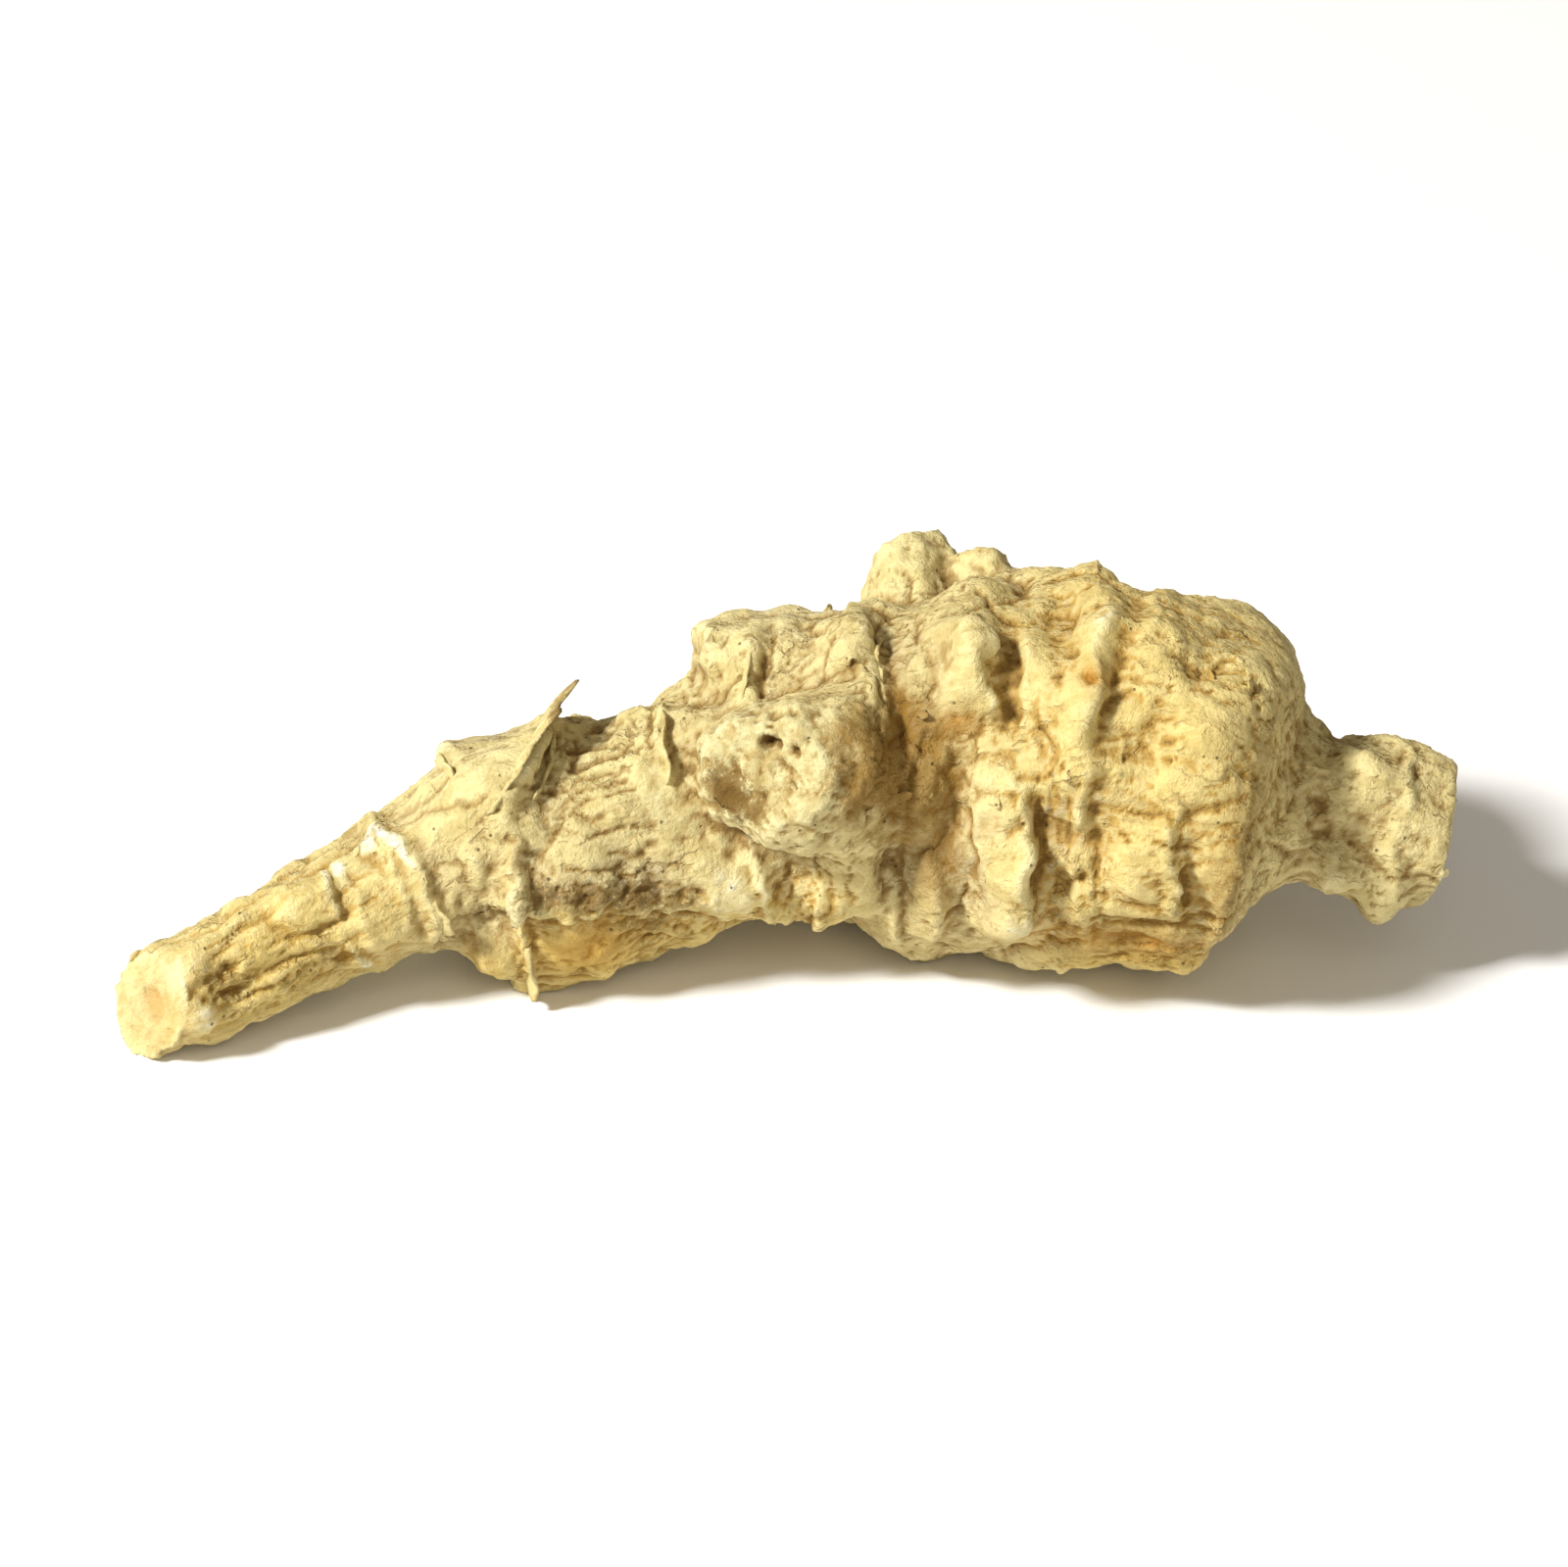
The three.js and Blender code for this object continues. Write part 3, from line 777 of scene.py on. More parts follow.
@dataclass
class StumpForm:
    """The form of one side root that was cut short, in its own three directions."""

    form: RootForm
    stump: Stump
    start: float = 0.35
    dish: float = 0.3
    rounding: float = 0.48
    end_loops: tuple[tuple[float, float], ...] = ((0.6, 0.4), (0.4, 1.0), (0.1, 1.1))

    def __post_init__(self) -> None:
        """Works out the stump's directions."""
        at = np.array(self.stump.at)
        self.origin = self.form.centre(at)
        forward, front, up = self.form.axes(at)
        turn = math.radians(self.stump.angle)
        self.out = unit(up * math.cos(turn) + front * math.sin(turn) + forward * self.stump.lean)
        self.across = unit(forward - self.out * (forward @ self.out))
        self.over = np.cross(self.out, self.across)

    def loop(self, t: float, narrow: float, sunk: float, sides: int) -> Array:
        """One loop of points round the stump, at the part t of its length.

        Args:
            t: the part of its length.
            narrow: the loop's size beside the full one.
            sunk: how far it lies inward.
            sides: how many points it has.

        Returns:
            The points, in order.
        """
        s = self.stump
        turn = np.arange(sides) * 2 * np.pi / sides
        ragged = 1 + 0.05 * np.sin(3 * turn + 5 * t + s.at) + 0.03 * np.sin(5 * turn + s.at)
        foot = s.flare * (1 - t) ** 2
        aside = (s.wide + foot) * narrow * ragged * np.cos(turn)
        above = (s.tall + foot) * narrow * ragged * np.sin(turn)
        reach = s.length * (self.start + (1 - self.start) * t) - sunk + t * s.cut * aside
        return self.origin + np.stack([reach, aside, above], axis=1) @ self.frame()

    def frame(self) -> Array:
        """The outward, across and over directions as rows."""
        return np.stack([self.out, self.across, self.over])

    def rows(self, steps: int = 28, sides: int = 56) -> Array:
        """Every loop of the stump, from its root to the middle of its dished end.

        Args:
            steps: how many loops run up its side.
            sides: how many points each has.

        Returns:
            The loops, one after the other.
        """
        parts = np.linspace(0, 1, steps)
        narrow = np.sqrt(1 - self.rounding * ramp(parts, 0.62, 1.02) ** 2)
        rows = [self.loop(t, size, 0, sides) for t, size in zip(parts, narrow)]
        rows += [self.loop(1, size, self.dish * sunk, sides) for size, sunk in self.end_loops]
        return np.array(rows)

    def local(self, points: Array) -> tuple[Array, Array, Array]:
        """How far points lie outward, across and over, seen from the stump's origin."""
        off = (points - self.origin) @ self.frame().T
        return off[:, 0], off[:, 1], off[:, 2]

    def point(self, aside: float, above: float) -> Array:
        """A point on the cut end."""
        s = self.stump
        return self.origin + np.array([s.length + s.cut * aside, aside, above]) @ self.frame()


class Mesh:
    """Plain meshes in and out of Blender."""

    @staticmethod
    def skin(rows: Array) -> tuple[Array, Faces]:
        """A closed skin over loops of points, with a fan to the middle of each end.

        Args:
            rows: loops with the same number of points each.

        Returns:
            The points and the faces.
        """
        count, around = rows.shape[:2]
        points = np.vstack([rows.reshape(-1, 3), rows[0].mean(axis=0), rows[-1].mean(axis=0)])
        faces = []
        for i, j in product(range(count - 1), range(around)):
            low, next_low = i * around + j, i * around + (j + 1) % around
            faces.append((low, next_low, next_low + around, low + around))
        low, high, last = count * around, count * around + 1, (count - 1) * around
        faces += [(low, (j + 1) % around, j) for j in range(around)]
        faces += [(high, last + j, last + (j + 1) % around) for j in range(around)]
        return points, faces

    @staticmethod
    def make(name: str, points: Array, faces: Faces) -> Thing:
        """A new object with a mesh of the given points and faces, its faces turned outwards.

        Args:
            name: what it is called.
            points: the mesh's points.
            faces: the numbers of each face's points.

        Returns:
            The object.
        """
        mesh = bpy.data.meshes.new(name)
        mesh.from_pydata(points.tolist(), [], faces)
        work = bmesh.new()
        work.from_mesh(mesh)
        bmesh.ops.recalc_face_normals(work, faces=work.faces)
        work.to_mesh(mesh)
        work.free()
        thing = bpy.data.objects.new(name, mesh)
        bpy.context.scene.collection.objects.link(thing)
        return thing

    @staticmethod
    def join(parts: list[tuple[Array, Faces]]) -> tuple[Array, Faces]:
        """Several meshes' points and faces as one.

        Args:
            parts: the points and faces of each mesh.

        Returns:
            The points and the faces.
        """
        points, faces, start = [], [], 0
        for part_points, part_faces in parts:
            points.append(part_points)
            faces += [tuple(start + k for k in face) for face in part_faces]
            start += len(part_points)
        return np.vstack(points), faces

    @staticmethod
    def settled(thing: Thing) -> Thing:
        """Bakes an object's modifiers into its mesh and removes them.

        Args:
            thing: the object.

        Returns:
            The same object.
        """
        graph = bpy.context.evaluated_depsgraph_get()
        mesh = bpy.data.meshes.new_from_object(thing.evaluated_get(graph))
        mesh.name = thing.name
        thing.modifiers.clear()
        old, thing.data = thing.data, mesh
        bpy.data.meshes.remove(old)
        return thing

    @staticmethod
    def read(items: Any, field: str, width: int, kind: type = float) -> Array:
        """One field of every vertex or edge.

        Args:
            items: the mesh's vertices, normals or edges.
            field: Blender's name for the field.
            width: how many numbers it has.
            kind: what they are stored as.

        Returns:
            A row for each item.
        """
        flat = np.empty(len(items) * width, dtype=kind)
        items.foreach_get(field, flat)
        return flat.reshape(-1, width)

    @staticmethod
    def points(thing: Thing) -> Array:
        """The object's vertices."""
        return Mesh.read(thing.data.vertices, "co", 3)

    @staticmethod
    def normals(thing: Thing) -> Array:
        """The object's vertex normals."""
        return Mesh.read(thing.data.vertex_normals, "vector", 3)

    @staticmethod
    def edges(thing: Thing) -> Array:
        """The object's edges as pairs of vertex numbers."""
        return Mesh.read(thing.data.edges, "vertices", 2, np.int32)

    @staticmethod
    def place(thing: Thing, points: Array) -> None:
        """Moves the object's vertices to the given points."""
        thing.data.vertices.foreach_set("co", points.ravel())
        thing.data.update()

    @staticmethod
    def paint(thing: Thing, marks: dict[str, Array]) -> None:
        """Stores a number or a place on every vertex, for the material to read.

        Args:
            thing: the object.
            marks: the values, by the name that they are stored under.
        """
        for name, values in marks.items():
            kind, field = ("FLOAT", "value") if values.ndim == 1 else ("FLOAT_VECTOR", "vector")
            layer = thing.data.attributes.new(name, kind, "POINT")
            layer.data.foreach_set(field, values.astype(np.float32).ravel())

    @staticmethod
    def finish(thing: Thing, material: bpy.types.Material) -> None:
        """Shades a piece smooth, dresses it and rides it on the body.

        Args:
            thing: the piece.
            material: what it is dressed in.
        """
        thing.data.shade_smooth()
        thing.data.materials.clear()
        thing.data.materials.append(material)
        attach(thing, BODY)
        LOG.info("%s: %d faces", thing.name, len(thing.data.polygons))


class Relaxer:
    """Averages values over neighbouring vertices of one mesh."""

    def __init__(self, edges: Array, count: int) -> None:
        """Keeps the edges and counts each vertex's neighbours.

        Args:
            edges: pairs of vertex numbers.
            count: how many vertices there are.
        """
        self.edges = edges
        self.count = count
        self.valence = np.bincount(edges.ravel(), minlength=count).astype(float)

    def average(self, values: Array) -> Array:
        """The mean of each vertex's neighbours.

        Args:
            values: one number a vertex.

        Returns:
            One number a vertex.
        """
        first, second = self.edges.T
        total = np.bincount(first, weights=values[second], minlength=self.count)
        total += np.bincount(second, weights=values[first], minlength=self.count)
        return total / self.valence

    def relax(self, values: Array, rounds: int, amount: Value = 0.5) -> Array:
        """Values moved towards their neighbours' mean, round after round.

        Args:
            values: a number or a row for each vertex.
            rounds: how many times they are moved.
            amount: the part of the way each time.

        Returns:
            The moved values.
        """
        columns = values.reshape(len(values), -1).T.copy()
        for _ in range(rounds):
            for i, column in enumerate(columns):
                columns[i] = column + amount * (self.average(column) - column)
        return columns.T.reshape(values.shape)


@dataclass(frozen=True)
class Hollow:
    """A small hollow or pit in the skin, with a tint of its own."""

    place: Array
    reach: float
    depth: float
    tint: Tint
    strength: float


@dataclass
class RootBody:
    """The body of the root: its main form, stumps, ring ridges and the fine relief of its bark."""

    form: RootForm
    voxel: float = 0.286
    row_step: float = 0.5
    sides: int = 130
    even_rounds: int = 7
    near_rounds: int = 5
    far_rounds: int = 40
    pits: int = 16

    def __post_init__(self) -> None:
        """Prepares the noise and places the stumps."""
        self.noise = Noise(SEED)
        self.stumps = [StumpForm(self.form, stump) for stump in STUMPS]
        self.front = self.stumps[0]

    def body_rows(self) -> Array:
        """Loops round the body from before the tip to the crown's cut end.

        Returns:
            The loops, one after the other.
        """
        count = round((CROWN_END - TIP_START) / self.row_step)
        along = np.linspace(TIP_START, CROWN_END, count + 1)
        angle = np.arange(self.sides) * 360 / self.sides
        grid_along, grid_angle = np.meshgrid(along, angle, indexing="ij")
        forward, front, up = self.form.axes(along)
        turn = np.radians(grid_angle)[..., None]
        across = np.cos(turn) * up[:, None] + np.sin(turn) * front[:, None]
        radius = self.form.radius(grid_along, grid_angle) + 0.5 * self.form.rings(grid_along, grid_angle)
        return self.form.centre(along)[:, None] + radius[..., None] * across

    def cut_tip(self, thing: Thing) -> None:
        """Cuts the tip off along its slanting plane and closes the cut.

        Args:
            thing: the body.
        """
        work = bmesh.new()
        work.from_mesh(thing.data)
        everything = work.verts[:] + work.edges[:] + work.faces[:]
        cut = bmesh.ops.bisect_plane(
            work, geom=everything, plane_co=TIP_CUT_POINT, plane_no=TIP_CUT_NORMAL, clear_outer=True
        )
        rim = [e for e in cut["geom_cut"] if isinstance(e, bmesh.types.BMEdge)]
        bmesh.ops.edgeloop_fill(work, edges=rim)
        bmesh.ops.triangulate(work, faces=[f for f in work.faces if len(f.verts) > 4])
        work.to_mesh(thing.data)
        work.free()

    def blank(self) -> Thing:
        """The fused and evened mesh of the body and its stumps, in millimetres, before any relief.

        Returns:
            The new object.
        """
        body = Mesh.make("body", *Mesh.skin(self.body_rows()))
        self.cut_tip(body)
        stumps = Mesh.make("stumps", *Mesh.join([Mesh.skin(stump.rows()) for stump in self.stumps]))
        work = bmesh.new()
        work.from_mesh(body.data)
        work.from_mesh(stumps.data)
        work.to_mesh(body.data)
        work.free()
        bpy.data.objects.remove(stumps)
        even = body.modifiers.new("even", "REMESH")
        even.mode = "VOXEL"
        even.voxel_size = self.voxel
        return Mesh.settled(body)

    def rings(self, along: Array, angle: Array, grid: Array) -> tuple[Array, Array]:
        """Ring ridges with broken crests.

        Args:
            along: the vertices' distances along the body.
            angle: their angles.
            grid: their places on the straightened body.

        Returns:
            How far the ridges lift the skin, and where their thin pale crests are.
        """
        noise = self.noise
        broken = np.clip(0.75 + 0.6 * noise.smooth(grid * (0.25, 0.4, 0.4)), 0.2, 1.3)
        along = along + 0.4 * noise.layered(grid * 0.5 + 31, 2)
        height = 0.5 * self.form.rings(along, angle) * broken
        crest = np.zeros(len(along))
        for ring in RINGS:
            if ring.height > 0:
                off, left = self.form.ring_place(ring, along, angle)
                crest += min(ring.height, 1.0) * bell(off + 0.1 * ring.steep, 0.3) * left * broken
        thin = ramp(noise.creased(grid * (0.30, 0.06, 0.06) + 3, 1), 0.86, 0.99)
        thin *= ramp(noise.smooth(grid * (0.2, 0.16, 0.16) + 11), 0.0, 0.35) * ramp(along, 16, 24)
        crest += 0.5 * thin * ramp(along, 76, 72)
        return height + 0.5 * crest, crest

    def lines(self, along: Array, angle: Array, grid: Array) -> tuple[Array, Array, Array]:
        """The drawn ridges and creases.

        Args:
            along: the vertices' distances along the body.
            angle: their angles.
            grid: their places on the straightened body.

        Returns:
            How far they lift the skin, and how strongly each vertex is a crest or a crease.
        """
        height, crest, crease = np.zeros((3, len(along)))
        shake = 0.22 * np.stack([self.noise.layered(grid * 0.9 + shift, 2) for shift in (13, 53)])
        broken = np.clip(0.85 + 0.6 * self.noise.smooth(grid * 0.8 + 29), 0.15, 1.3)
        for line in LINES:
            path = np.array(line.path)
            middle = path.mean(axis=0)
            size = float(self.form.radius(*middle))
            u, v = along + shake[0], np.radians(turn_between(angle, middle[1])) * size + shake[1]
            pu, pv = path[:, 0], np.radians(path[:, 1] - middle[1]) * size
            margin = 3 * line.width + 1
            near = (u > pu.min() - margin) & (u < pu.max() + margin)
            near &= (v > pv.min() - margin) & (v < pv.max() + margin)
            off, aside, part = self.path_place(u[near], v[near], pu, pv)
            fade = np.sin(np.pi * np.clip(part, 0.02, 0.98)) ** 0.45 * broken[near]
            width = line.width * np.where(aside * line.side > 0, STEEP, 1 + abs(line.side))
            height[near] += line.height * bell(off, width) * fade
            mark = bell(off, 0.75 * line.width) * fade * min(1, 1.8 * abs(line.height), 0.3 / line.width)
            target = crest if line.height > 0 else crease
            target[near] = np.maximum(target[near], mark)
        return height, crest, crease

    @staticmethod
    def path_place(u: Array, v: Array, pu: Array, pv: Array) -> tuple[Array, Array, Array]:
        """Where points lie by a path of straight parts.

        Args:
            u: the points' first coordinates.
            v: their second coordinates.
            pu: the path's first coordinates.
            pv: its second coordinates.

        Returns:
            The distance from the path, its sign along the first coordinate, and the part of the path passed.
        """
        best = np.full(len(u), 99.0)
        aside, part = np.zeros((2, len(u)))
        for i in range(len(pu) - 1):
            du, dv = pu[i + 1] - pu[i], pv[i + 1] - pv[i]
            t = np.clip(((u - pu[i]) * du + (v - pv[i]) * dv) / (du * du + dv * dv), 0, 1)
            off_u, off_v = u - pu[i] - t * du, v - pv[i] - t * dv
            gap = np.hypot(off_u, off_v)
            nearer = gap < best
            best = np.where(nearer, gap, best)
            aside = np.where(nearer, np.sign(off_u), aside)
            part = np.where(nearer, (i + t) / (len(pu) - 1), part)
        return best, aside, part

    def wrinkled(self, along: Array, angle: Array) -> Array:
        """How much the bark is wrinkled lengthwise: the slender end, the lower shoulder and the neck."""
        low = bell(turn_between(angle, 92), 44) * ramp(along, 61, 66) * ramp(along, 77, 72)
        return np.clip(ramp(along, 23, 15) + 0.7 * low + 0.4 * ramp(along, 60, 68), 0, 1)

    def pillows(self, along: Array, angle: Array, grid: Array) -> tuple[Array, Array]:
        """Soft rounded pillows of bark with creases between them.

        Args:
            along: the vertices' distances along the body.
            angle: their angles.
            grid: their places on the straightened body.

        Returns:
            How far they lift the skin, and how strongly each vertex is in a crack.
        """
        noise = self.noise
        bent = grid + 1.2 * np.stack([noise.smooth(grid * 0.3 + shift) for shift in (0, 40, 80)], axis=1)
        lengthwise = self.wrinkled(along, angle)
        shoulder = ramp(along, 52, 60)
        belly = bell(turn_between(angle, 125), 26) * ramp(along, 24, 28) * ramp(along, 46, 40)
        even_side = bell(turn_between(angle, 35), 42) * ramp(along, 59, 63)
        kinds = (
            (lengthwise, (0.08, 0.5, 0.5), 0.62),
            ((1 - lengthwise) * (1 - shoulder), (0.22, 0.22, 0.22), 0.42),
            ((1 - lengthwise) * shoulder * (1 - 0.45 * even_side), (0.21, 0.17, 0.17), 0.95),
            (belly, (0.3, 0.36, 0.36), 1.1),
        )
        height, crack = np.zeros((2, len(along)))
        open_here = ramp(noise.smooth(grid * 0.14 + 61), -0.15, 0.35)
        for weight, scale, rise in kinds:
            for layer, share in enumerate((1.0, 0.45, 0.2)):
                swell = np.abs(noise.smooth(bent * scale * 2.1**layer + 19 + 7 * layer))
                height += weight * rise * share * (np.clip(swell, 0, 0.8) ** 0.75 - 0.4)
                shut = ramp(swell, 0.0, 0.05 + 0.03 * layer)
                crack += weight * share * (1 - 0.7 * shoulder) * (1 - shut) * open_here
        return height - 0.16 * crack, crack

    def rough(self, along: Array, angle: Array, grid: Array) -> Array:
        """Crumbly fine relief, strongest where the bark is dark and under the ledge.

        Args:
            along: the vertices' distances along the body.
            angle: their angles.
            grid: their places on the straightened body.

        Returns:
            How far it lifts the skin.
        """
        dark = self.patches(Tint.DARK, along, angle)
        neck = ramp(along, 75, 79)
        grain = self.noise.layered(grid * 0.75 + 50, 3, 0.6)
        crumble = 0.5 * grain + 0.35 - 0.7 * self.noise.creased(grid * 0.9 + 80)
        return 0.12 * grain + 0.7 * np.clip(dark + 0.1 * neck, 0, 1) * crumble

    def patches(self, tint: Tint, along: Array, angle: Array) -> Array:
        """How strongly one tint colours each vertex.

        Args:
            tint: the tint.
            along: the vertices' distances along the body.
            angle: their angles.

        Returns:
            One number a vertex.
        """
        total = np.zeros(len(along))
        for patch in PATCHES[tint]:
            total = np.maximum(total, patch.strength * hump(patch, along, angle))
        return total

    def bumps(self, along: Array, angle: Array) -> tuple[Array, Array]:
        """How far the small bumps lift the skin, and how smooth it is on them.

        Args:
            along: the vertices' distances along the body.
            angle: their angles.

        Returns:
            Both, one number a vertex.
        """
        total, calm = np.zeros((2, len(along)))
        for lobe in (*BUMPS, *WARTS):
            near = (np.abs(along - lobe.at) / lobe.length) ** 2.6
            near += (np.abs(turn_between(angle, lobe.angle)) / lobe.spread) ** 2.6
            total += lobe.height * np.exp(-near)
            calm = np.maximum(calm, np.exp(-near / 2))
        return total, calm

    def ledges(self, along: Array, angle: Array, grid: Array) -> Array:
        """The ragged step where a ledge runs lengthwise along the lower front.

        Args:
            along: the vertices' distances along the body.
            angle: their angles.
            grid: their places on the straightened body.

        Returns:
            How far it lifts the skin.
        """
        edge = np.interp(along, *np.transpose(LEDGE_EDGE))
        below = np.radians(turn_between(angle, edge)) * self.form.radius(along, angle)
        below = below + 0.8 * self.noise.layered(grid * 0.5 + 77, 3, 0.7)
        here = ramp(along, 16, 22) * ramp(along, 47, 41) * bell(below, 4.5)
        return here * (0.35 - 0.9 * ramp(below, -0.2, 0.7))

    def hollows(self) -> list[Hollow]:
        """The pits, resin spots and stem scars.

        Returns:
            Every hollow, in no special order.
        """
        end = np.array(CROWN_END)
        _, aside, above = self.form.axes(end)
        hollows = [
            Hollow(self.front.point(right, up), reach, depth, Tint.DARK, strength)
            for right, up, reach, depth, strength in FACE_HOLLOWS
        ]
        hollows += [
            Hollow(self.form.surface(np.array(along), np.array(angle)), *sizes)
            for along, angle, *sizes in SKIN_HOLLOWS
        ]
        draw = np.random.default_rng(SEED)
        pitted = self.form.surface(draw.uniform(2.2, 5.2, self.pits), draw.uniform(40, 78, self.pits))
        hollows += [Hollow(pit, 0.3, 0.25, Tint.BROWN, 0.8) for pit in pitted]
        return hollows + [
            Hollow(TIP_CUT_POINT + np.array([0.1, -0.2, 0.3]), 1.1, 0.3, Tint.RESIN, 0.6),
            Hollow(TIP_CUT_POINT, 2.8, 0.05, Tint.RESIN, 0.2),
            Hollow(self.form.centre(end) + 0.7 * aside + 0.4 * above, 2.3, 1.3, Tint.DARK, 0.6),
        ]

    def cut_faces(self, points: Array, normals: Array) -> tuple[Array, Array]:
        """Where the skin is a cut face or the side of a stump.

        Args:
            points: the vertices.
            normals: their normals.

        Returns:
            How much each vertex belongs to a cut face, and how much to a stump.
        """
        direction = unit(TIP_CUT_NORMAL)
        height = (points - TIP_CUT_POINT) @ direction
        cut = ramp(height, -0.5, -0.15) * ramp(normals @ direction, 0.5, 0.85)
        crown_forward = self.form.axes(np.array(CROWN_END))[0]
        height = (points - self.form.centre(np.array(CROWN_END))) @ crown_forward
        cut = np.maximum(cut, ramp(height, -1.3, -0.5) * ramp(normals @ crown_forward, 0.45, 0.8))
        side = np.zeros(len(points))
        for form in self.stumps:
            out, across, over = form.local(points)
            s = form.stump
            reach = np.hypot(across / (s.wide + s.flare), over / (s.tall + s.flare))
            on_it = ramp(reach, 1.15, 0.95)
            side = np.maximum(side, on_it * ramp(out, s.length - 4.2, s.length - 2.6))
            level = out - s.length - s.cut * across
            face = ramp(level, -1.9, -1.1) * ramp(normals @ form.out, 0.55, 0.85) * on_it
            cut = np.maximum(cut, face)
        return cut, side

    def stump_face(self, points: Array) -> tuple[Array, Array]:
        """How far out points lie on the front stump, 1 on its rim, and how far to the right."""
        _, across, over = self.front.local(points)
        return np.hypot(across / FRONT_STUMP.wide, over / FRONT_STUMP.tall), across / FRONT_STUMP.wide

    def streaks(self, points: Array) -> Array:
        """Torn fibres on the front stump, which run from its upper right to its lower left.

        Args:
            points: the vertices.

        Returns:
            Noise from about -1 to 1, drawn out along the fibres.
        """
        out, across, over = self.front.local(points)
        fibres = np.stack([1.5 * (across + over), 0.35 * (over - across), 0.5 * out], axis=1)
        return self.noise.layered(fibres, 2)

    def shaded_wall(self, points: Array) -> Array:
        """How much each vertex belongs to the front stump's side towards the crown, which is painted brown
        as shade.

        Args:
            points: the vertices.

        Returns:
            Parts from 0 to 1.
        """
        out, across, _ = self.front.local(points)
        s = FRONT_STUMP
        ragged = self.noise.layered(points * 0.5 + 21, 2)
        reach, _ = self.stump_face(points)
        side = ramp(across + ragged, 0.5 * s.wide, 0.95 * s.wide) * ramp(reach, 1.7, 1.2)
        return side * ramp(out + ragged, 5, 9) * ramp(out + ragged, s.length + 0.4, s.length - 1.4)

    def knob(self, points: Array) -> Array:
        """How much each vertex belongs to the front stump, whose bark is worn off all round.

        Args:
            points: the vertices.

        Returns:
            Parts from 0 to 1.
        """
        out, across, over = self.front.local(points)
        s = FRONT_STUMP
        reach = np.hypot(across / (s.wide + 0.5 * s.flare), over / (s.tall + 0.5 * s.flare))
        ragged = 0.3 * self.noise.layered(points * 0.3 + 3, 2)
        outer = ramp(out + ragged * 4, s.length - 4.4, s.length - 2.6)
        return 0.85 * ramp(reach + ragged, 1.05, 0.85) * outer

    def shape(self, body: Thing) -> None:
        """Gives the blank its relief, and stores what the material needs to know of it.

        Args:
            body: the blank, whose mesh is changed.
        """
        points = Mesh.points(body)
        relaxer = Relaxer(Mesh.edges(body), len(points))
        points = relaxer.relax(points, self.even_rounds)
        Mesh.place(body, points)
        normals = Mesh.normals(body)
        along, angle, radius = self.form.locate(points)
        turn = np.radians(angle)
        grid = np.stack([along, radius * np.cos(turn), radius * np.sin(turn)], axis=1)
        cut, side = self.cut_faces(points, normals)
        bark = (1 - cut) * (1 - 0.8 * side)
        ring_lift, ring_crest = self.rings(along, angle, grid)
        line_lift, line_crest, crease = self.lines(along, angle, grid)
        pillow_lift, crack = self.pillows(along, angle, grid)
        bump, calm = self.bumps(along, angle)
        relief = ring_lift + line_lift + (1 - 0.75 * calm) * pillow_lift + bump
        relief = bark * (relief + self.ledges(along, angle, grid) + self.rough(along, angle, grid))
        relief += 0.25 * self.noise.layered(grid * 0.2 + 97, 2) * (1 - cut)
        knob = self.knob(points)
        relief += (cut * 0.08 + knob * 0.1) * self.noise.layered(points * 0.8 + 5, 3, 0.7)
        fibres = self.streaks(points)
        relief += knob * (0.2 * self.noise.layered(points * 0.32 + 4, 2) + 0.18 * fibres)
        reach, right = self.stump_face(points)
        # The rim is painted paler only on its left, lit part: partly its pale cut edge, partly painted
        # highlight.
        rim = knob * bell(reach - 0.82, 0.2) * ramp(right, 0.3, -0.5)
        relief += 0.12 * rim
        relief += side * (1 - cut) * 0.3 * self.noise.layered(points * 0.45 + 8, 3, 0.6)
        stain = {tint: np.zeros(len(points)) for tint in Tint}
        uneven = 1 + 0.35 * self.noise.smooth(points * 1.3 + 90)
        for hollow in self.hollows():
            near = np.linalg.norm(points - hollow.place, axis=1) / hollow.reach * uneven
            relief -= hollow.depth * np.exp(-(near**4))
            spot = hollow.strength * np.exp(-((near / 1.1) ** 2))
            stain[hollow.tint] = np.maximum(stain[hollow.tint], spot)
        points = points + relief[:, None] * normals
        points[:, 2] = np.maximum(points[:, 2], 0)
        Mesh.place(body, points)
        cracked = bark * (1 - 0.6 * calm) * np.clip(0.8 * crease + 0.8 * crack, 0, 1)
        pale = (0.3 + 0.4 * ramp(along, 30, 20)) * (ring_crest**1.6 + line_crest)
        marks = {
            "crack": cracked - 0.35 * cut + 0.55 * knob * ramp(fibres, -0.1, -0.6),
            "pale": bark * np.clip(pale, 0, 1),
            "cut": np.maximum(cut * ramp(along, -0.5, 3), 0.75 * knob),
            "tip": cut * ramp(along, 8, 4),
            "rim": rim,
            # The front stump's side towards the crown, painted brown as shade.
            "shaded_wall": self.shaded_wall(points),
            "crinkled": bark * (1 - knob) * (1 - 0.6 * calm),
        }
        tints = {tint: np.maximum(self.patches(tint, along, angle), stain[tint]) for tint in Tint}
        self.paint(body, relaxer, along, angle, marks, tints)
        Mesh.paint(body, {"body_place": grid})

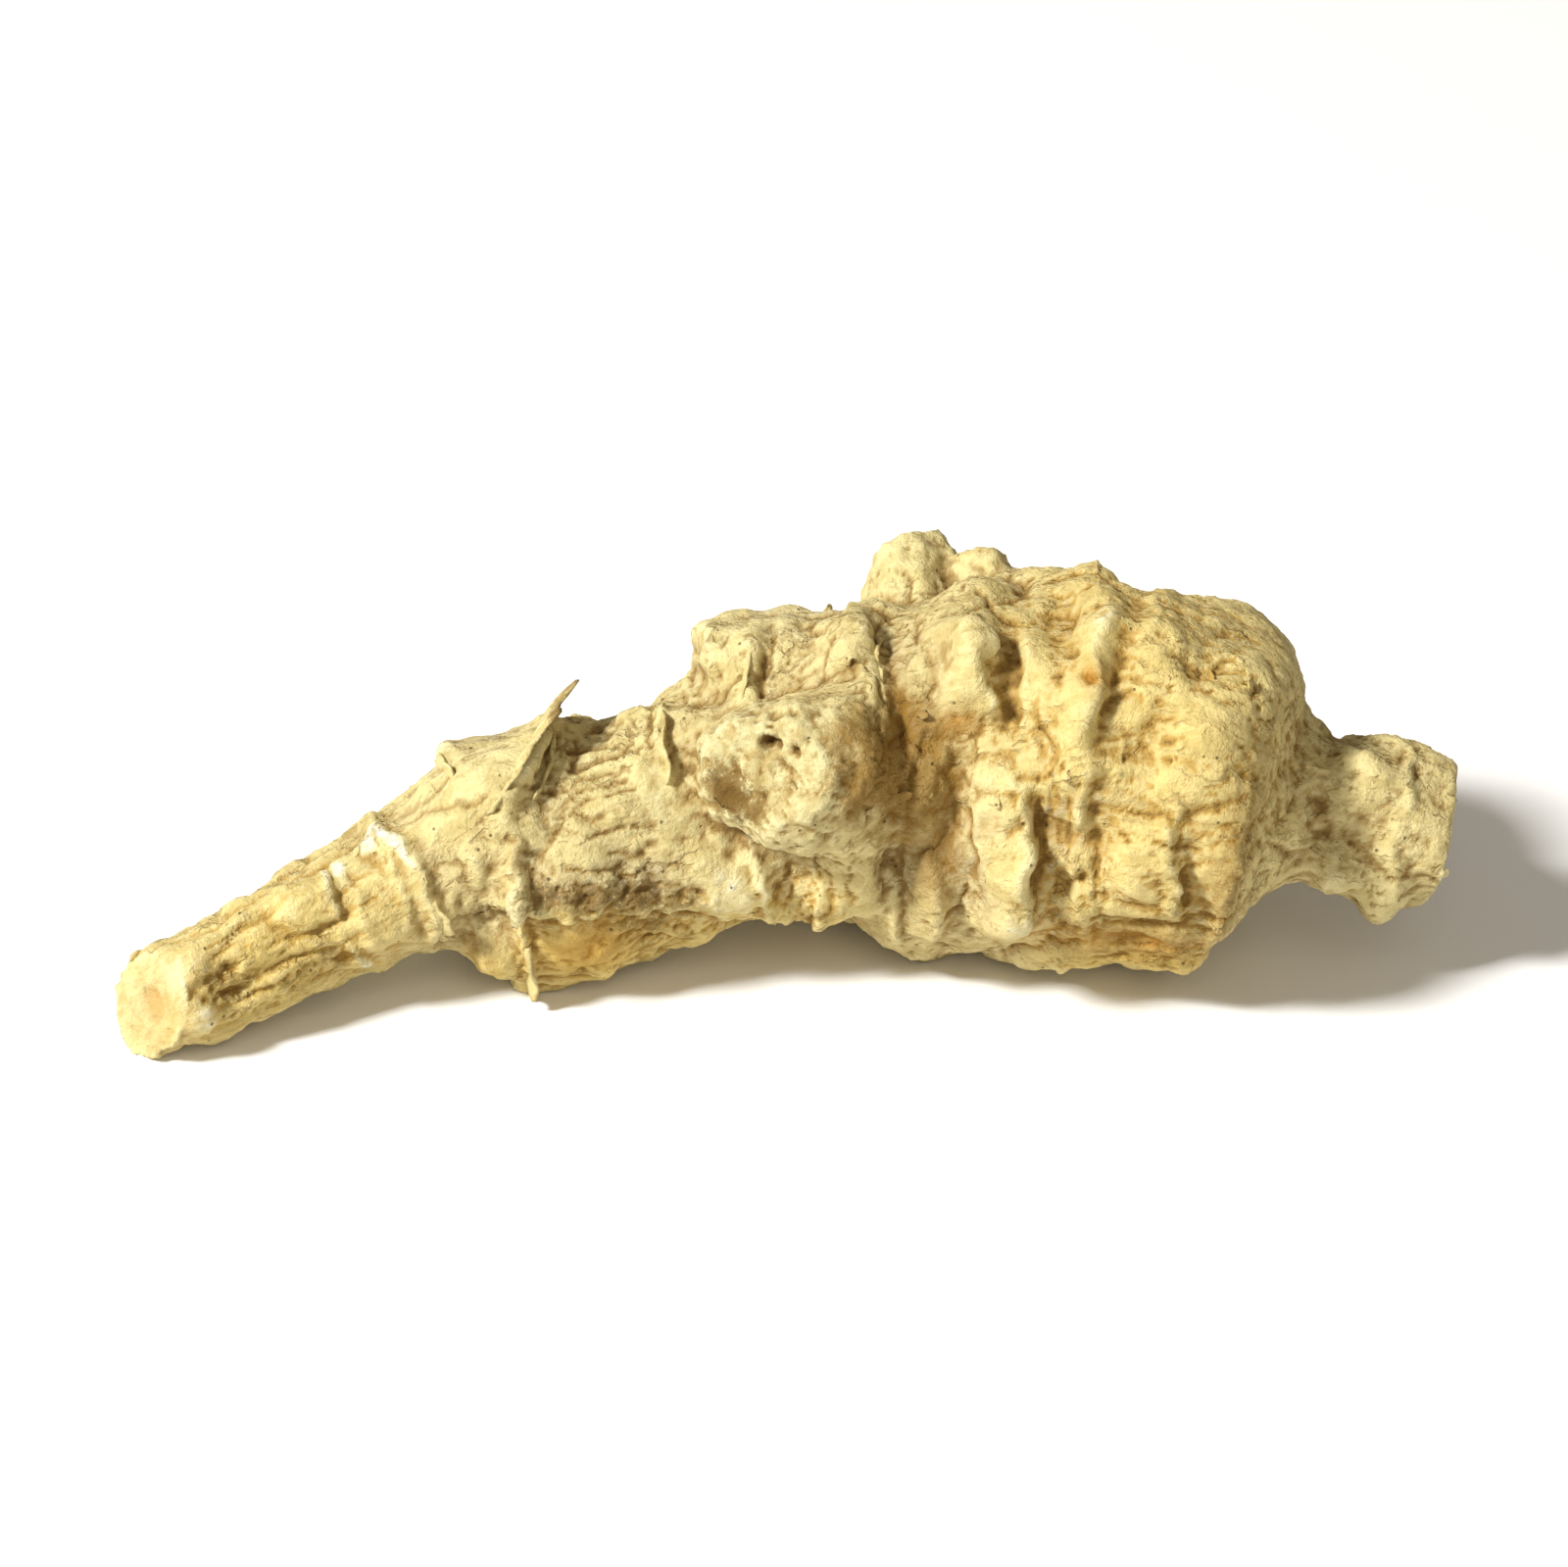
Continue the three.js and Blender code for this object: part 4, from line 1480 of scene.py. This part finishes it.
    def paint(
        self,
        body: Thing,
        relaxer: Relaxer,
        along: Array,
        angle: Array,
        marks: dict[str, Array],
        tints: dict[Tint, Array],
    ) -> None:
        """Stores cracks with painted shade in hollows, worn edges, colour patches (some of them painted
        shade and shadow), cut faces and stains as numbers on the vertices.

        Args:
            body: the finished shape.
            relaxer: what averages over its vertices.
            along: the vertices' distances along the body.
            angle: their angles.
            marks: how much each vertex is in a crack, on a rim and so on.
            tints: how strongly each tint colours each vertex.
        """
        points, normals = Mesh.points(body), Mesh.normals(body)
        near = relaxer.relax(points, self.near_rounds)
        far = relaxer.relax(near, self.far_rounds)
        fine = ((points - near) * normals).sum(axis=1)
        broad = ((near - far) * normals).sum(axis=1)
        low = 0.6 * bell(turn_between(angle, 140), 40) * ramp(along, 22, 28) * ramp(along, 50, 44)
        # Painted shade: hollows in the relief, found by comparing it with its relaxed copies, are added to
        # the cracks and later coloured darker.
        crack_and_shade = np.clip(marks["crack"] - fine / 0.08 - broad / 0.8, 0, 1)
        edge = np.clip(fine / 0.16, -1, 0.5) + np.clip(broad / 2, -0.6, 0.2) - 0.1
        # The front stump's rim adds painted highlight on its lit left part, over its pale cut edge.
        edge += 0.7 * marks["rim"] + 0.35 * marks["tip"] + marks["pale"] + tints[Tint.PALE]
        dust = tints[Tint.DUST] * np.clip(0.6 + 0.9 * self.noise.layered(points * 0.4 + 33, 2), 0, 1)
        patchy = ramp(self.noise.layered(points * 0.16 + 71, 2), 0.0, 0.5)
        scaly = (1 - marks["cut"]) * (0.25 + tints[Tint.DARK] + 0.5 * tints[Tint.DUST]) * patchy
        stored = {
            "crack_and_shade": crack_and_shade * (1 - 0.4 * ramp(along, 30, 14)),
            # Brown patches, some of them painted shadow and shade, and the painted shade on the front
            # stump's side towards the crown.
            "brown": np.maximum(tints[Tint.BROWN], 0.9 * marks["shaded_wall"]),
            "edge": np.clip(edge, 0, 1.5),
            # Grey dusting, heavier in broad hollows, which also paints the front stump's shadow below it.
            "dust": np.clip(dust + 0.1 - broad / 0.6, 0, 1),
            "dark": tints[Tint.DARK],
            "gold": np.clip(tints[Tint.GOLD] + low, 0, 1),
            # Resin stains, and the painted golden shadow line under the shoulder.
            "stain": tints[Tint.RESIN],
            "cut": marks["cut"],
            "crinkled": marks["crinkled"],
            "lengthwise": self.wrinkled(along, angle),
            "scaly": np.clip(scaly * ramp(points[:, 2], 0.6, 1.5), 0, 1),
        }
        Mesh.paint(body, stored)

    def build(self) -> Thing:
        """The finished body in millimetres, in the tip's own frame.

        Returns:
            The body, with its relief.
        """
        body = self.blank()
        LOG.info("blank: %d faces", len(body.data.polygons))
        self.shape(body)
        body.name = body.data.name = "root_body"
        return body


@dataclass
class BarkLips:
    """Thin torn lips of bark that stand up off the ring ridges."""

    form: RootForm
    levels: int = 7
    step: float = 0.2
    foot: float = 0.5
    edge: float = 0.2
    sunk: float = 0.7

    def __post_init__(self) -> None:
        """Prepares the noise."""
        self.noise = Noise(SEED + 1)

    def blade(self, lip: Lip) -> tuple[Array, Faces]:
        """One lip: a thin curled blade with a ragged edge, its foot sunk in the skin.

        Args:
            lip: its place and sizes.

        Returns:
            The points and the faces.
        """
        size = float(self.form.radius(np.array(lip.at), np.array(lip.start)))
        length = math.radians(lip.stop - lip.start) * size
        count = max(8, round(length / self.step))
        part = np.linspace(0, 1, count)
        angle = lip.start + (lip.stop - lip.start) * part
        row = np.stack([part * length, np.full(count, lip.at), np.zeros(count)], axis=1)
        wobble = 0.35 * self.noise.layered(row * 0.35, 2)
        along = lip.at + lip.drift * (angle - (lip.start + lip.stop) / 2) / 90 + wobble
        torn = 0.72 + 0.5 * self.noise.layered(row * 0.8 + 3, 3, 0.6) / max(1.0, lip.height / 2)
        climb = np.where(part < lip.peak, part / lip.peak, (1 - part) / (1 - lip.peak))
        torn = torn * np.sin(np.pi / 2 * climb) ** (0.4 + 0.4 * lip.height)
        height = lip.height * np.clip(torn, 0.12, 1.15)
        curl = 0.3 * self.noise.layered(row * 0.6 + 8, 3, 0.6)
        loops = []
        for side in (1, -1):
            for k in range(self.levels) if side > 0 else reversed(range(self.levels)):
                rise = k / (self.levels - 1)
                lift = rise * (height + self.sunk) - self.sunk
                lean = (lip.lean * rise**1.8 + curl * rise**2) * height / lip.height
                thick = (0.4 + 0.12 * lip.height) * (self.foot + (self.edge - self.foot) * rise)
                loops.append(self.form.surface(along, angle, lift, lean + side * thick))
        return Mesh.skin(np.array(loops).transpose(1, 0, 2))

    def build(self) -> Thing:
        """All the lips as one piece, in millimetres, in the tip's own frame.

        Returns:
            The piece.
        """
        lips = Mesh.make("bark_lips", *Mesh.join([self.blade(lip) for lip in LIPS]))
        points = Mesh.points(lips)
        along, angle, radius = self.form.locate(points)
        lift = radius - self.form.radius(along, angle) - self.form.rings(along, angle)
        brown = 0.4 * ramp(self.noise.layered(points * 0.5 + 60, 2), -0.2, 0.6) + 0.5 * ramp(lift, 0.7, 1.9)
        marks = {"edge": 0.35 - 0.5 * brown, "dark": brown, "gold": 0.3 * brown, "body_place": points}
        Mesh.paint(lips, marks)
        return lips


class NodeBook:
    """Adds nodes to a tree, each with its settings and inputs in one call."""

    def __init__(self, tree: bpy.types.NodeTree) -> None:
        """Keeps the tree."""
        self.tree = tree

    def add(self, kind: str, inputs: dict[str | int, Any] | None = None, **settings: Any) -> bpy.types.Node:
        """A new node.

        Args:
            kind: Blender's name for the node.
            inputs: a value or another node's socket for each named or numbered input.
            **settings: the node's own settings.

        Returns:
            The node.
        """
        node = self.tree.nodes.new(kind)
        for name, value in settings.items():
            setattr(node, name, value)
        for name, value in (inputs or {}).items():
            socket = node.inputs[name]
            if isinstance(value, Socket):
                self.tree.links.new(value, socket)
            else:
                socket.default_value = value
        return node

    def math(self, operation: str, *values: Any) -> Socket:
        """A sum on numbers."""
        return self.add("ShaderNodeMath", dict(enumerate(values)), operation=operation).outputs[0]

    def times(self, first: Any, second: Any) -> Socket:
        """Two numbers multiplied."""
        return self.math("MULTIPLY", first, second)

    def vector(self, operation: str, inputs: dict[str | int, Any]) -> Socket:
        """A sum on vectors."""
        return self.add("ShaderNodeVectorMath", inputs, operation=operation).outputs[0]

    def remap(self, value: Any, low: float, high: float, least: float = 0.0, most: float = 1.0) -> Socket:
        """A number moved from one range to another, and kept inside it."""
        inputs = {0: value, 1: low, 2: high, 3: least, 4: most}
        return self.add("ShaderNodeMapRange", inputs, interpolation_type="SMOOTHSTEP").outputs[0]

    def mix(self, factor: Any, first: Any, second: Any, blend: str = "MIX") -> Socket:
        """Two colours mixed."""
        inputs = {0: factor, 6: first, 7: second}
        return self.add("ShaderNodeMix", inputs, data_type="RGBA", blend_type=blend).outputs[2]

    def noise(self, place: Socket, size: float, detail: float = 3.0, rough: float = 0.55) -> Socket:
        """Noise with features of the given size in millimetres."""
        inputs = {"Vector": place, "Scale": 1 / (size * METRES), "Detail": detail, "Roughness": rough}
        return self.add("ShaderNodeTexNoise", inputs).outputs[0]

    def stored(self, name: str, output: str = "Fac") -> Socket:
        """A number stored on the vertices, or a place where the output is "Vector"."""
        return self.add("ShaderNodeAttribute", attribute_name=name).outputs[output]


@dataclass(frozen=True)
class BarkScales:
    """Small loose scales of bark, scattered over the body with Geometry Nodes, in metres."""

    density: float = 150000.0
    smallest: float = 0.00025
    largest: float = 0.0008
    tilt: float = 0.35
    flattened: tuple[float, float, float] = (1.0, 0.6, 0.16)
    ragged_scale: float = 2200.0
    ragged_shift: float = 0.0006

    def tree(self, material: bpy.types.Material) -> bpy.types.NodeTree:
        """The tree that scatters the scales over a mesh.

        Args:
            material: what the scales are dressed in.

        Returns:
            The tree, with named inputs for the density, the sizes, the tilt and the seed.
        """
        tree = bpy.data.node_groups.new("bark scales", "GeometryNodeTree")
        sockets = tree.interface
        sockets.new_socket("Body", in_out="INPUT", socket_type="NodeSocketGeometry")
        for name in ("Density", "Smallest", "Largest", "Tilt"):
            sockets.new_socket(name, in_out="INPUT", socket_type="NodeSocketFloat")
        sockets.new_socket("Seed", in_out="INPUT", socket_type="NodeSocketInt")
        sockets.new_socket("Scales", in_out="OUTPUT", socket_type="NodeSocketGeometry")
        book = NodeBook(tree)
        given = book.add("NodeGroupInput").outputs
        where = book.add("GeometryNodeInputNamedAttribute", {"Name": "scaly"}, data_type="FLOAT").outputs[0]
        density = book.times(where, given["Density"])
        inputs = {"Mesh": given["Body"], "Density": density, "Seed": given["Seed"]}
        spread = book.add("GeometryNodeDistributePointsOnFaces", inputs).outputs
        scale = book.add("GeometryNodeMeshIcoSphere", {"Radius": 1.0, "Subdivisions": 3}).outputs["Mesh"]
        flat = book.add("GeometryNodeTransform", {"Geometry": scale, "Scale": self.flattened}).outputs[0]
        inputs = {2: given["Smallest"], 3: given["Largest"], "Seed": given["Seed"]}
        size = book.add("FunctionNodeRandomValue", inputs, data_type="FLOAT").outputs[1]
        inputs = {"Points": spread["Points"], "Rotation": spread["Rotation"]}
        inputs |= {"Instance": flat, "Scale": size}
        placed = book.add("GeometryNodeInstanceOnPoints", inputs).outputs[0]
        inputs = {"Instances": placed, "Rotation": self.turn(book, given)}
        turned = book.add("GeometryNodeRotateInstances", inputs).outputs[0]
        real = book.add("GeometryNodeRealizeInstances", {"Geometry": turned}).outputs[0]
        inputs = {"Geometry": self.ragged(book, real), "Material": material}
        last = book.add("GeometryNodeSetMaterial", inputs).outputs[0]
        book.add("NodeGroupOutput", {"Scales": last})
        return tree

    def turn(self, book: NodeBook, given: bpy.types.NodeOutputs) -> Socket:
        """A random turn about the skin's normal, and a small random tilt off it.

        Args:
            book: the tree's nodes.
            given: the tree's inputs.

        Returns:
            The turn of each scale.
        """
        back = book.times(given["Tilt"], -1.0)
        low = book.add("ShaderNodeCombineXYZ", {0: back, 1: back, 2: 0.0}).outputs[0]
        high = book.add("ShaderNodeCombineXYZ", {0: given["Tilt"], 1: given["Tilt"], 2: math.tau}).outputs[0]
        inputs = {0: low, 1: high, "Seed": given["Seed"]}
        return book.add("FunctionNodeRandomValue", inputs, data_type="FLOAT_VECTOR").outputs[0]

    def ragged(self, book: NodeBook, scales: Socket) -> Socket:
        """The scales with uneven outlines.

        Args:
            book: the tree's nodes.
            scales: the plain scales.

        Returns:
            The uneven ones.
        """
        inputs = {"Scale": self.ragged_scale, "Detail": 2.0}
        noise = book.add("ShaderNodeTexNoise", inputs).outputs["Color"]
        centred = book.vector("SUBTRACT", {0: noise, 1: (0.5, 0.5, 0.5)})
        shift = book.vector("SCALE", {0: centred, "Scale": self.ragged_shift})
        return book.add("GeometryNodeSetPosition", {"Geometry": scales, "Offset": shift}).outputs[0]

    def build(self, body: Thing, material: bpy.types.Material) -> Thing:
        """The scales as one piece, from the finished body, in metres.

        Args:
            body: the body, which stays as it is.
            material: what the scales are dressed in.

        Returns:
            The piece.
        """
        scales = bpy.data.objects.new("bark_scales", body.data.copy())
        bpy.context.scene.collection.objects.link(scales)
        spread = scales.modifiers.new("scales", "NODES")
        spread.node_group = self.tree(material)
        values = {
            "Density": self.density,
            "Smallest": self.smallest,
            "Largest": self.largest,
            "Tilt": self.tilt,
            "Seed": SEED,
        }
        for item in spread.node_group.interface.items_tree:
            if item.in_out == "INPUT" and item.name in values:
                spread[item.identifier] = values[item.name]
        return Mesh.settled(scales)


@dataclass(frozen=True)
class Wrinkles:
    """One layer of broken wrinkle lines.

    The fields are how many times closer the lines lie than the broadest layer's, their width beside
    the gap between them, how brown they are, and how deep they are beside the bark's fine relief.
    """

    finer: float
    width: float
    shade: float
    depth: float


@dataclass(frozen=True)
class BarkFinish:
    """Dry ginseng bark: cream to tan, with grey dusting in its dips, pale on worn edges and dark in its
    cracks, with painted shade in its hollows and cracks and painted shadow by the front stump.
    """

    cream: Colour = linear("#F0E2A8")
    tan: Colour = linear("#E2D29A")
    gold: Colour = linear("#EBCC74")
    dust: Colour = linear("#B7A98C")
    # Ochre and taupe are painted shade in hollows and cracks.
    ochre: Colour = linear("#B99242")
    taupe: Colour = linear("#B0965F")
    brown: Colour = linear("#8E6A2A")
    umber: Colour = linear("#7E6232")
    crack: Colour = linear("#4E3816")
    worn: Colour = linear("#F1E5B2")
    white: Colour = linear("#F8F3DE")
    speck: Colour = linear("#5C4426")
    resin: Colour = linear("#BE8530")
    flesh: Colour = linear("#DAD09C")
    flesh_grey: Colour = linear("#B49C62")
    mottle: Colour = (0.78, 0.76, 0.66, 1)
    grime: Colour = (0.74, 0.7, 0.56, 1)
    furrow: Colour = (0.7, 0.64, 0.47, 1)
    wrinkles: tuple[Wrinkles, ...] = (Wrinkles(1.0, 0.09, 0.5, 0.4), Wrinkles(2.1, 0.13, 0.28, 0.25))
    speck_gap: float = 0.85
    speck_share: float = 0.14
    roughness: float = 0.82
    specular: float = 0.16
    bump_strength: float = 0.95
    bump_height: float = 0.00036

    def colour(self, book: NodeBook, place: Socket) -> Socket:
        """The bark's and the cut faces' colour.

        Args:
            book: the material's nodes.
            place: each point's place on the piece.

        Returns:
            The colour.
        """
        patch = book.noise(place, 2.6, 4.0, 0.6)
        fine = book.noise(place, 0.6, 4.0, 0.6)
        uneven = book.math("SUBTRACT", fine, 0.5)
        colour = book.mix(book.remap(book.noise(place, 9.0), 0.38, 0.62), self.cream, self.tan)
        colour = book.mix(book.times(book.stored("gold"), 0.85), colour, self.gold)
        washes = (
            (book.remap(patch, 0.3, 0.7), self.mottle, 0.45),
            (book.remap(fine, 0.3, 0.7), self.grime, 0.4),
            (book.remap(self.fibre(book), 0.36, 0.56), self.furrow, 0.5),
        )
        for clean, shade, amount in washes:
            colour = book.mix(amount, colour, book.mix(clean, shade, WHITE), "MULTIPLY")
        dust_and_shade_amount = book.times(book.stored("dust"), book.remap(patch, 0.3, 0.6, 0.35, 1.0))
        grey = book.remap(book.noise(place, 1.4, 5.0, 0.65), 0.35, 0.7)
        flesh = book.mix(grey, self.flesh, self.flesh_grey)
        # Painted shade: the colour that hollows and cracks turn to, ochre where the bark is gold.
        hollow_shade = book.mix(book.remap(book.stored("gold"), 0.05, 0.3), self.taupe, self.ochre)
        cracked = self.uneven(book, "crack_and_shade", uneven, 0.9)
        worn = self.uneven(book, "edge", uneven, 0.8)
        brown = self.uneven(book, "brown", uneven, 0.9)
        speckle = book.math("SUBTRACT", book.noise(place, 0.35, 3.0, 0.7), 0.5)
        dark = book.remap(self.uneven(book, "dark", speckle, 2.4), 0.25, 0.65)
        coats = (
            # Grey dusting, which also paints the front stump's shadow below it.
            (book.times(dust_and_shade_amount, 0.85), self.dust),
            (book.stored("cut"), flesh),
            # Painted shade: hollows and cracks turn taupe or ochre, then brown, then nearly black.
            (book.remap(cracked, -0.02, 0.5, 0.0, 0.72), hollow_shade),
            (book.remap(cracked, 0.4, 1.0, 0.0, 0.55), self.brown),
            (book.remap(cracked, 0.7, 1.3, 0.0, 0.7), self.crack),
            (book.remap(worn, 0.3, 1.5, 0.0, 0.95), self.worn),
            (book.remap(worn, 1.0, 1.7, 0.0, 0.9), self.white),
            (book.times(book.stored("dark"), dark), self.umber),
            # Brown, partly painted shadow and shade.
            (book.remap(brown, 0.05, 0.95, 0.0, 0.85), self.brown),
            (book.remap(book.stored("dark"), 0.95, 1.3), self.crack),
            *((book.times(self.lines(book, place, kind), kind.shade), self.brown) for kind in self.wrinkles),
            (self.specks(book, place), self.speck),
            # Resin colour, which also paints the golden shadow line under the shoulder.
            (book.times(book.stored("stain"), 0.8), self.resin),
        )
        for strength, tint in coats:
            colour = book.mix(strength, colour, tint)
        return colour

    @staticmethod
    def uneven(book: NodeBook, name: str, noise: Socket, amount: float) -> Socket:
        """A number stored on the vertices, with noise added."""
        return book.math("ADD", book.stored(name), book.times(noise, amount))

    def fibre(self, book: NodeBook) -> Socket:
        """Fine wrinkles that follow the body: lengthwise where it is slender, and round it elsewhere.

        Args:
            book: the material's nodes.

        Returns:
            Noise from 0 to 1.
        """
        place = book.stored("body_place", "Vector")
        inputs = {0: book.stored("lengthwise")}
        for slot, scale in ((3, (0.13, 1.2, 1.2)), (2, (0.4, 0.9, 0.9))):
            turned = book.add("ShaderNodeMapping", {"Vector": place, "Scale": scale}).outputs[0]
            noise = {"Vector": turned, "Scale": 1.0, "Detail": 3.0, "Distortion": 0.4}
            inputs[slot] = book.add("ShaderNodeTexNoise", noise).outputs[0]
        return book.add("ShaderNodeMix", inputs, data_type="FLOAT").outputs[0]

    def lines(self, book: NodeBook, place: Socket, kind: Wrinkles) -> Socket:
        """Broken wrinkle lines, drawn out along the body.

        Args:
            book: the material's nodes.
            place: each point's place on the piece.
            kind: which layer of them.

        Returns:
            How much of a line each point is in.
        """
        along = book.stored("body_place", "Vector")
        inputs = {"Vector": along, "Scale": (0.17 * kind.finer, 0.7 * kind.finer, 0.7 * kind.finer)}
        turned = book.add("ShaderNodeMapping", inputs).outputs[0]
        inputs = {"Vector": along, "Scale": 0.9 * kind.finer, "Detail": 3.0}
        bend = book.add("ShaderNodeTexNoise", inputs).outputs["Color"]
        bent = book.vector("ADD", {0: turned, 1: book.vector("SCALE", {0: bend, "Scale": 1.1})})
        cells = book.add("ShaderNodeTexVoronoi", {"Vector": bent, "Scale": 1.0}, feature="DISTANCE_TO_EDGE")
        line = book.remap(cells.outputs["Distance"], kind.width, 0.2 * kind.width)
        broken = book.remap(book.noise(place, 2.2 / kind.finer, 2.0), 0.48, 0.64)
        return book.times(line, book.times(broken, book.stored("crinkled")))

    def specks(self, book: NodeBook, place: Socket) -> Socket:
        """Scattered dark specks about a fifth of a millimetre across.

        Args:
            book: the material's nodes.
            place: each point's place on the piece.

        Returns:
            How dark each point is.
        """
        inputs = {"Vector": place, "Scale": 1 / (self.speck_gap * METRES)}
        cells = book.add("ShaderNodeTexVoronoi", inputs).outputs
        draw = book.add("ShaderNodeSeparateColor", {0: cells["Color"]}).outputs[0]
        chosen = book.math("LESS_THAN", draw, self.speck_share)
        return book.times(book.times(book.remap(cells["Distance"], 0.17, 0.07), chosen), 0.75)

    def bump(self, book: NodeBook, place: Socket) -> Socket:
        """Relief finer than the mesh.

        Args:
            book: the material's nodes.
            place: each point's place on the piece.

        Returns:
            The bent normal.
        """
        height = book.math("ADD", book.noise(place, 0.6, 5.0, 0.7), book.times(self.fibre(book), 0.8))
        sunk = [(self.specks(book, place), 0.5)]
        sunk += [(self.lines(book, place, kind), kind.depth) for kind in self.wrinkles]
        for mark, depth in sunk:
            height = book.math("SUBTRACT", height, book.times(mark, depth))
        inputs = {"Strength": self.bump_strength, "Distance": self.bump_height, "Height": height}
        return book.add("ShaderNodeBump", inputs).outputs[0]

    def material(self) -> bpy.types.Material:
        """The finished material.

        Returns:
            The material, for every piece.
        """
        material = bpy.data.materials.new("ginseng bark")
        material.use_nodes = True
        tree = material.node_tree
        book = NodeBook(tree)
        shader = tree.nodes["Principled BSDF"]
        place = book.add("ShaderNodeTexCoord").outputs["Object"]
        tree.links.new(self.colour(book, place), shader.inputs["Base Color"])
        tree.links.new(self.bump(book, place), shader.inputs["Normal"])
        rough = book.remap(book.noise(place, 1.2), 0.3, 0.7, self.roughness - 0.1, self.roughness + 0.1)
        tree.links.new(rough, shader.inputs["Roughness"])
        shader.inputs["Specular IOR Level"].default_value = self.specular
        return material


@dataclass(frozen=True)
class Lamp:
    """One soft square light that faces the root."""

    name: str
    place: tuple[float, float, float]
    size: float
    power: float
    tint: tuple[float, float, float]

    def build(self) -> None:
        """Adds the light to the scene."""
        data = bpy.data.lights.new(self.name, "AREA")
        data.size, data.energy, data.color = self.size, self.power, self.tint
        lamp = bpy.data.objects.new(self.name, data)
        lamp.location = self.place
        lamp.rotation_euler = (-Vector(self.place)).to_track_quat("-Z", "Y").to_euler()
        bpy.context.scene.collection.objects.link(lamp)


@dataclass(frozen=True)
class Studio:
    """The pale floor, the soft lights and the camera."""

    azimuth: float = -16.8
    elevation: float = 32.6
    distance: float = 0.3463
    lens: float = 121.0
    roll: float = 3.9
    floor_size: float = 6.0
    paper: Colour = (0.93, 0.93, 0.93, 1)
    paper_roughness: float = 0.9
    key: Lamp = Lamp("key", (-1.2, -0.26, 1.08), 0.25, 39.3, (1, 1, 0.98))
    fill: Lamp = Lamp("fill", (-0.1, -0.9, 0.8), 1.0, 2.4, (1, 0.96, 0.88))
    sky: Colour = (1, 0.89, 0.74, 1)
    sky_strength: float = 0.26

    def floor(self) -> None:
        """A plain pale floor."""
        half = self.floor_size / 2
        corners = [(x * half, y * half, 0.0) for x, y in ((-1, -1), (1, -1), (1, 1), (-1, 1))]
        floor = Mesh.make("floor", np.array(corners), [(0, 1, 2, 3)])
        material = bpy.data.materials.new("pale paper")
        material.use_nodes = True
        shader = material.node_tree.nodes["Principled BSDF"]
        shader.inputs["Base Color"].default_value = self.paper
        shader.inputs["Roughness"].default_value = self.paper_roughness
        floor.data.materials.append(material)

    def lights(self) -> None:
        """A key light from the upper left, a weak fill and an even sky."""
        self.key.build()
        self.fill.build()
        world = bpy.data.worlds.new("sky")
        world.use_nodes = True
        sky = world.node_tree.nodes["Background"]
        sky.inputs["Color"].default_value = self.sky
        sky.inputs["Strength"].default_value = self.sky_strength
        bpy.context.scene.world = world

    def camera(self, aim: Vector) -> None:
        """The camera, at the photograph's viewing angle.

        Args:
            aim: the point that the camera looks at.
        """
        turn, tilt = math.radians(self.azimuth), math.radians(self.elevation)
        back = Vector((math.sin(turn) * math.cos(tilt), -math.cos(turn) * math.cos(tilt), math.sin(tilt)))
        data = bpy.data.cameras.new("camera")
        data.lens = self.lens
        data.clip_start, data.clip_end = 0.01, 20
        camera = bpy.data.objects.new("camera", data)
        facing = (-back).to_track_quat("-Z", "Y").to_matrix().to_4x4()
        spin = Matrix.Rotation(math.radians(self.roll), 4, "Z")
        camera.matrix_world = Matrix.Translation(aim + back * self.distance) @ facing @ spin
        bpy.context.scene.collection.objects.link(camera)
        bpy.context.scene.camera = camera

    def build(self, aim: Vector) -> None:
        """Everything round the root.

        Args:
            aim: the point that the camera looks at.
        """
        self.camera(aim)
        self.floor()
        self.lights()
        bpy.context.scene.view_settings.view_transform = "Standard"


@dataclass(frozen=True)
class Ginseng:
    """The whole root, in the box from the low to the high corner that its solid fills."""

    low: Vector
    high: Vector
    form: RootForm = RootForm()

    def shift(self, maker: RootBody) -> Array:
        """How far the tip's own frame moves to lie where the solid does.

        Args:
            maker: what makes the root's body.

        Returns:
            The move, in millimetres.
        """
        loops = [maker.body_rows(), *(stump.rows() for stump in maker.stumps)]
        points = np.vstack([rows.reshape(-1, 3) for rows in loops])
        points = points[(points - TIP_CUT_POINT) @ TIP_CUT_NORMAL <= 0]
        low, high = np.array(self.low) / METRES, np.array(self.high) / METRES
        move = (low + high) / 2 - (points.min(axis=0) + points.max(axis=0)) / 2
        return np.array([move[0], move[1], 0.0])

    def build(self) -> None:
        """Builds, places and dresses every piece."""
        bark = BarkFinish().material()
        maker = RootBody(self.form)
        shift = self.shift(maker)
        LOG.info("shift: %s", shift.round(3))
        body, lips = maker.build(), BarkLips(self.form).build()
        for thing in (body, lips):
            points = Mesh.points(thing) + shift
            points[:, 2] = np.maximum(points[:, 2], 0)
            Mesh.place(thing, points * METRES)
        scales = BarkScales().build(body, bark)
        for thing in (body, lips, scales):
            Mesh.finish(thing, bark)
        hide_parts(NODE)


def corners(box: tuple[Vector, Vector]) -> list[list[float]]:
    """A box as plain lists."""
    return [list(corner) for corner in box]


def main() -> None:
    """Builds the root round its frame."""
    logging.basicConfig(level=logging.INFO, format="%(name)s: %(message)s")
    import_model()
    low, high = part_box(NODE)
    Studio().build(Vector((0, 0, (low[2] + high[2]) / 2)))
    Ginseng(low, high).build()


if __name__ == "__main__":
    main()
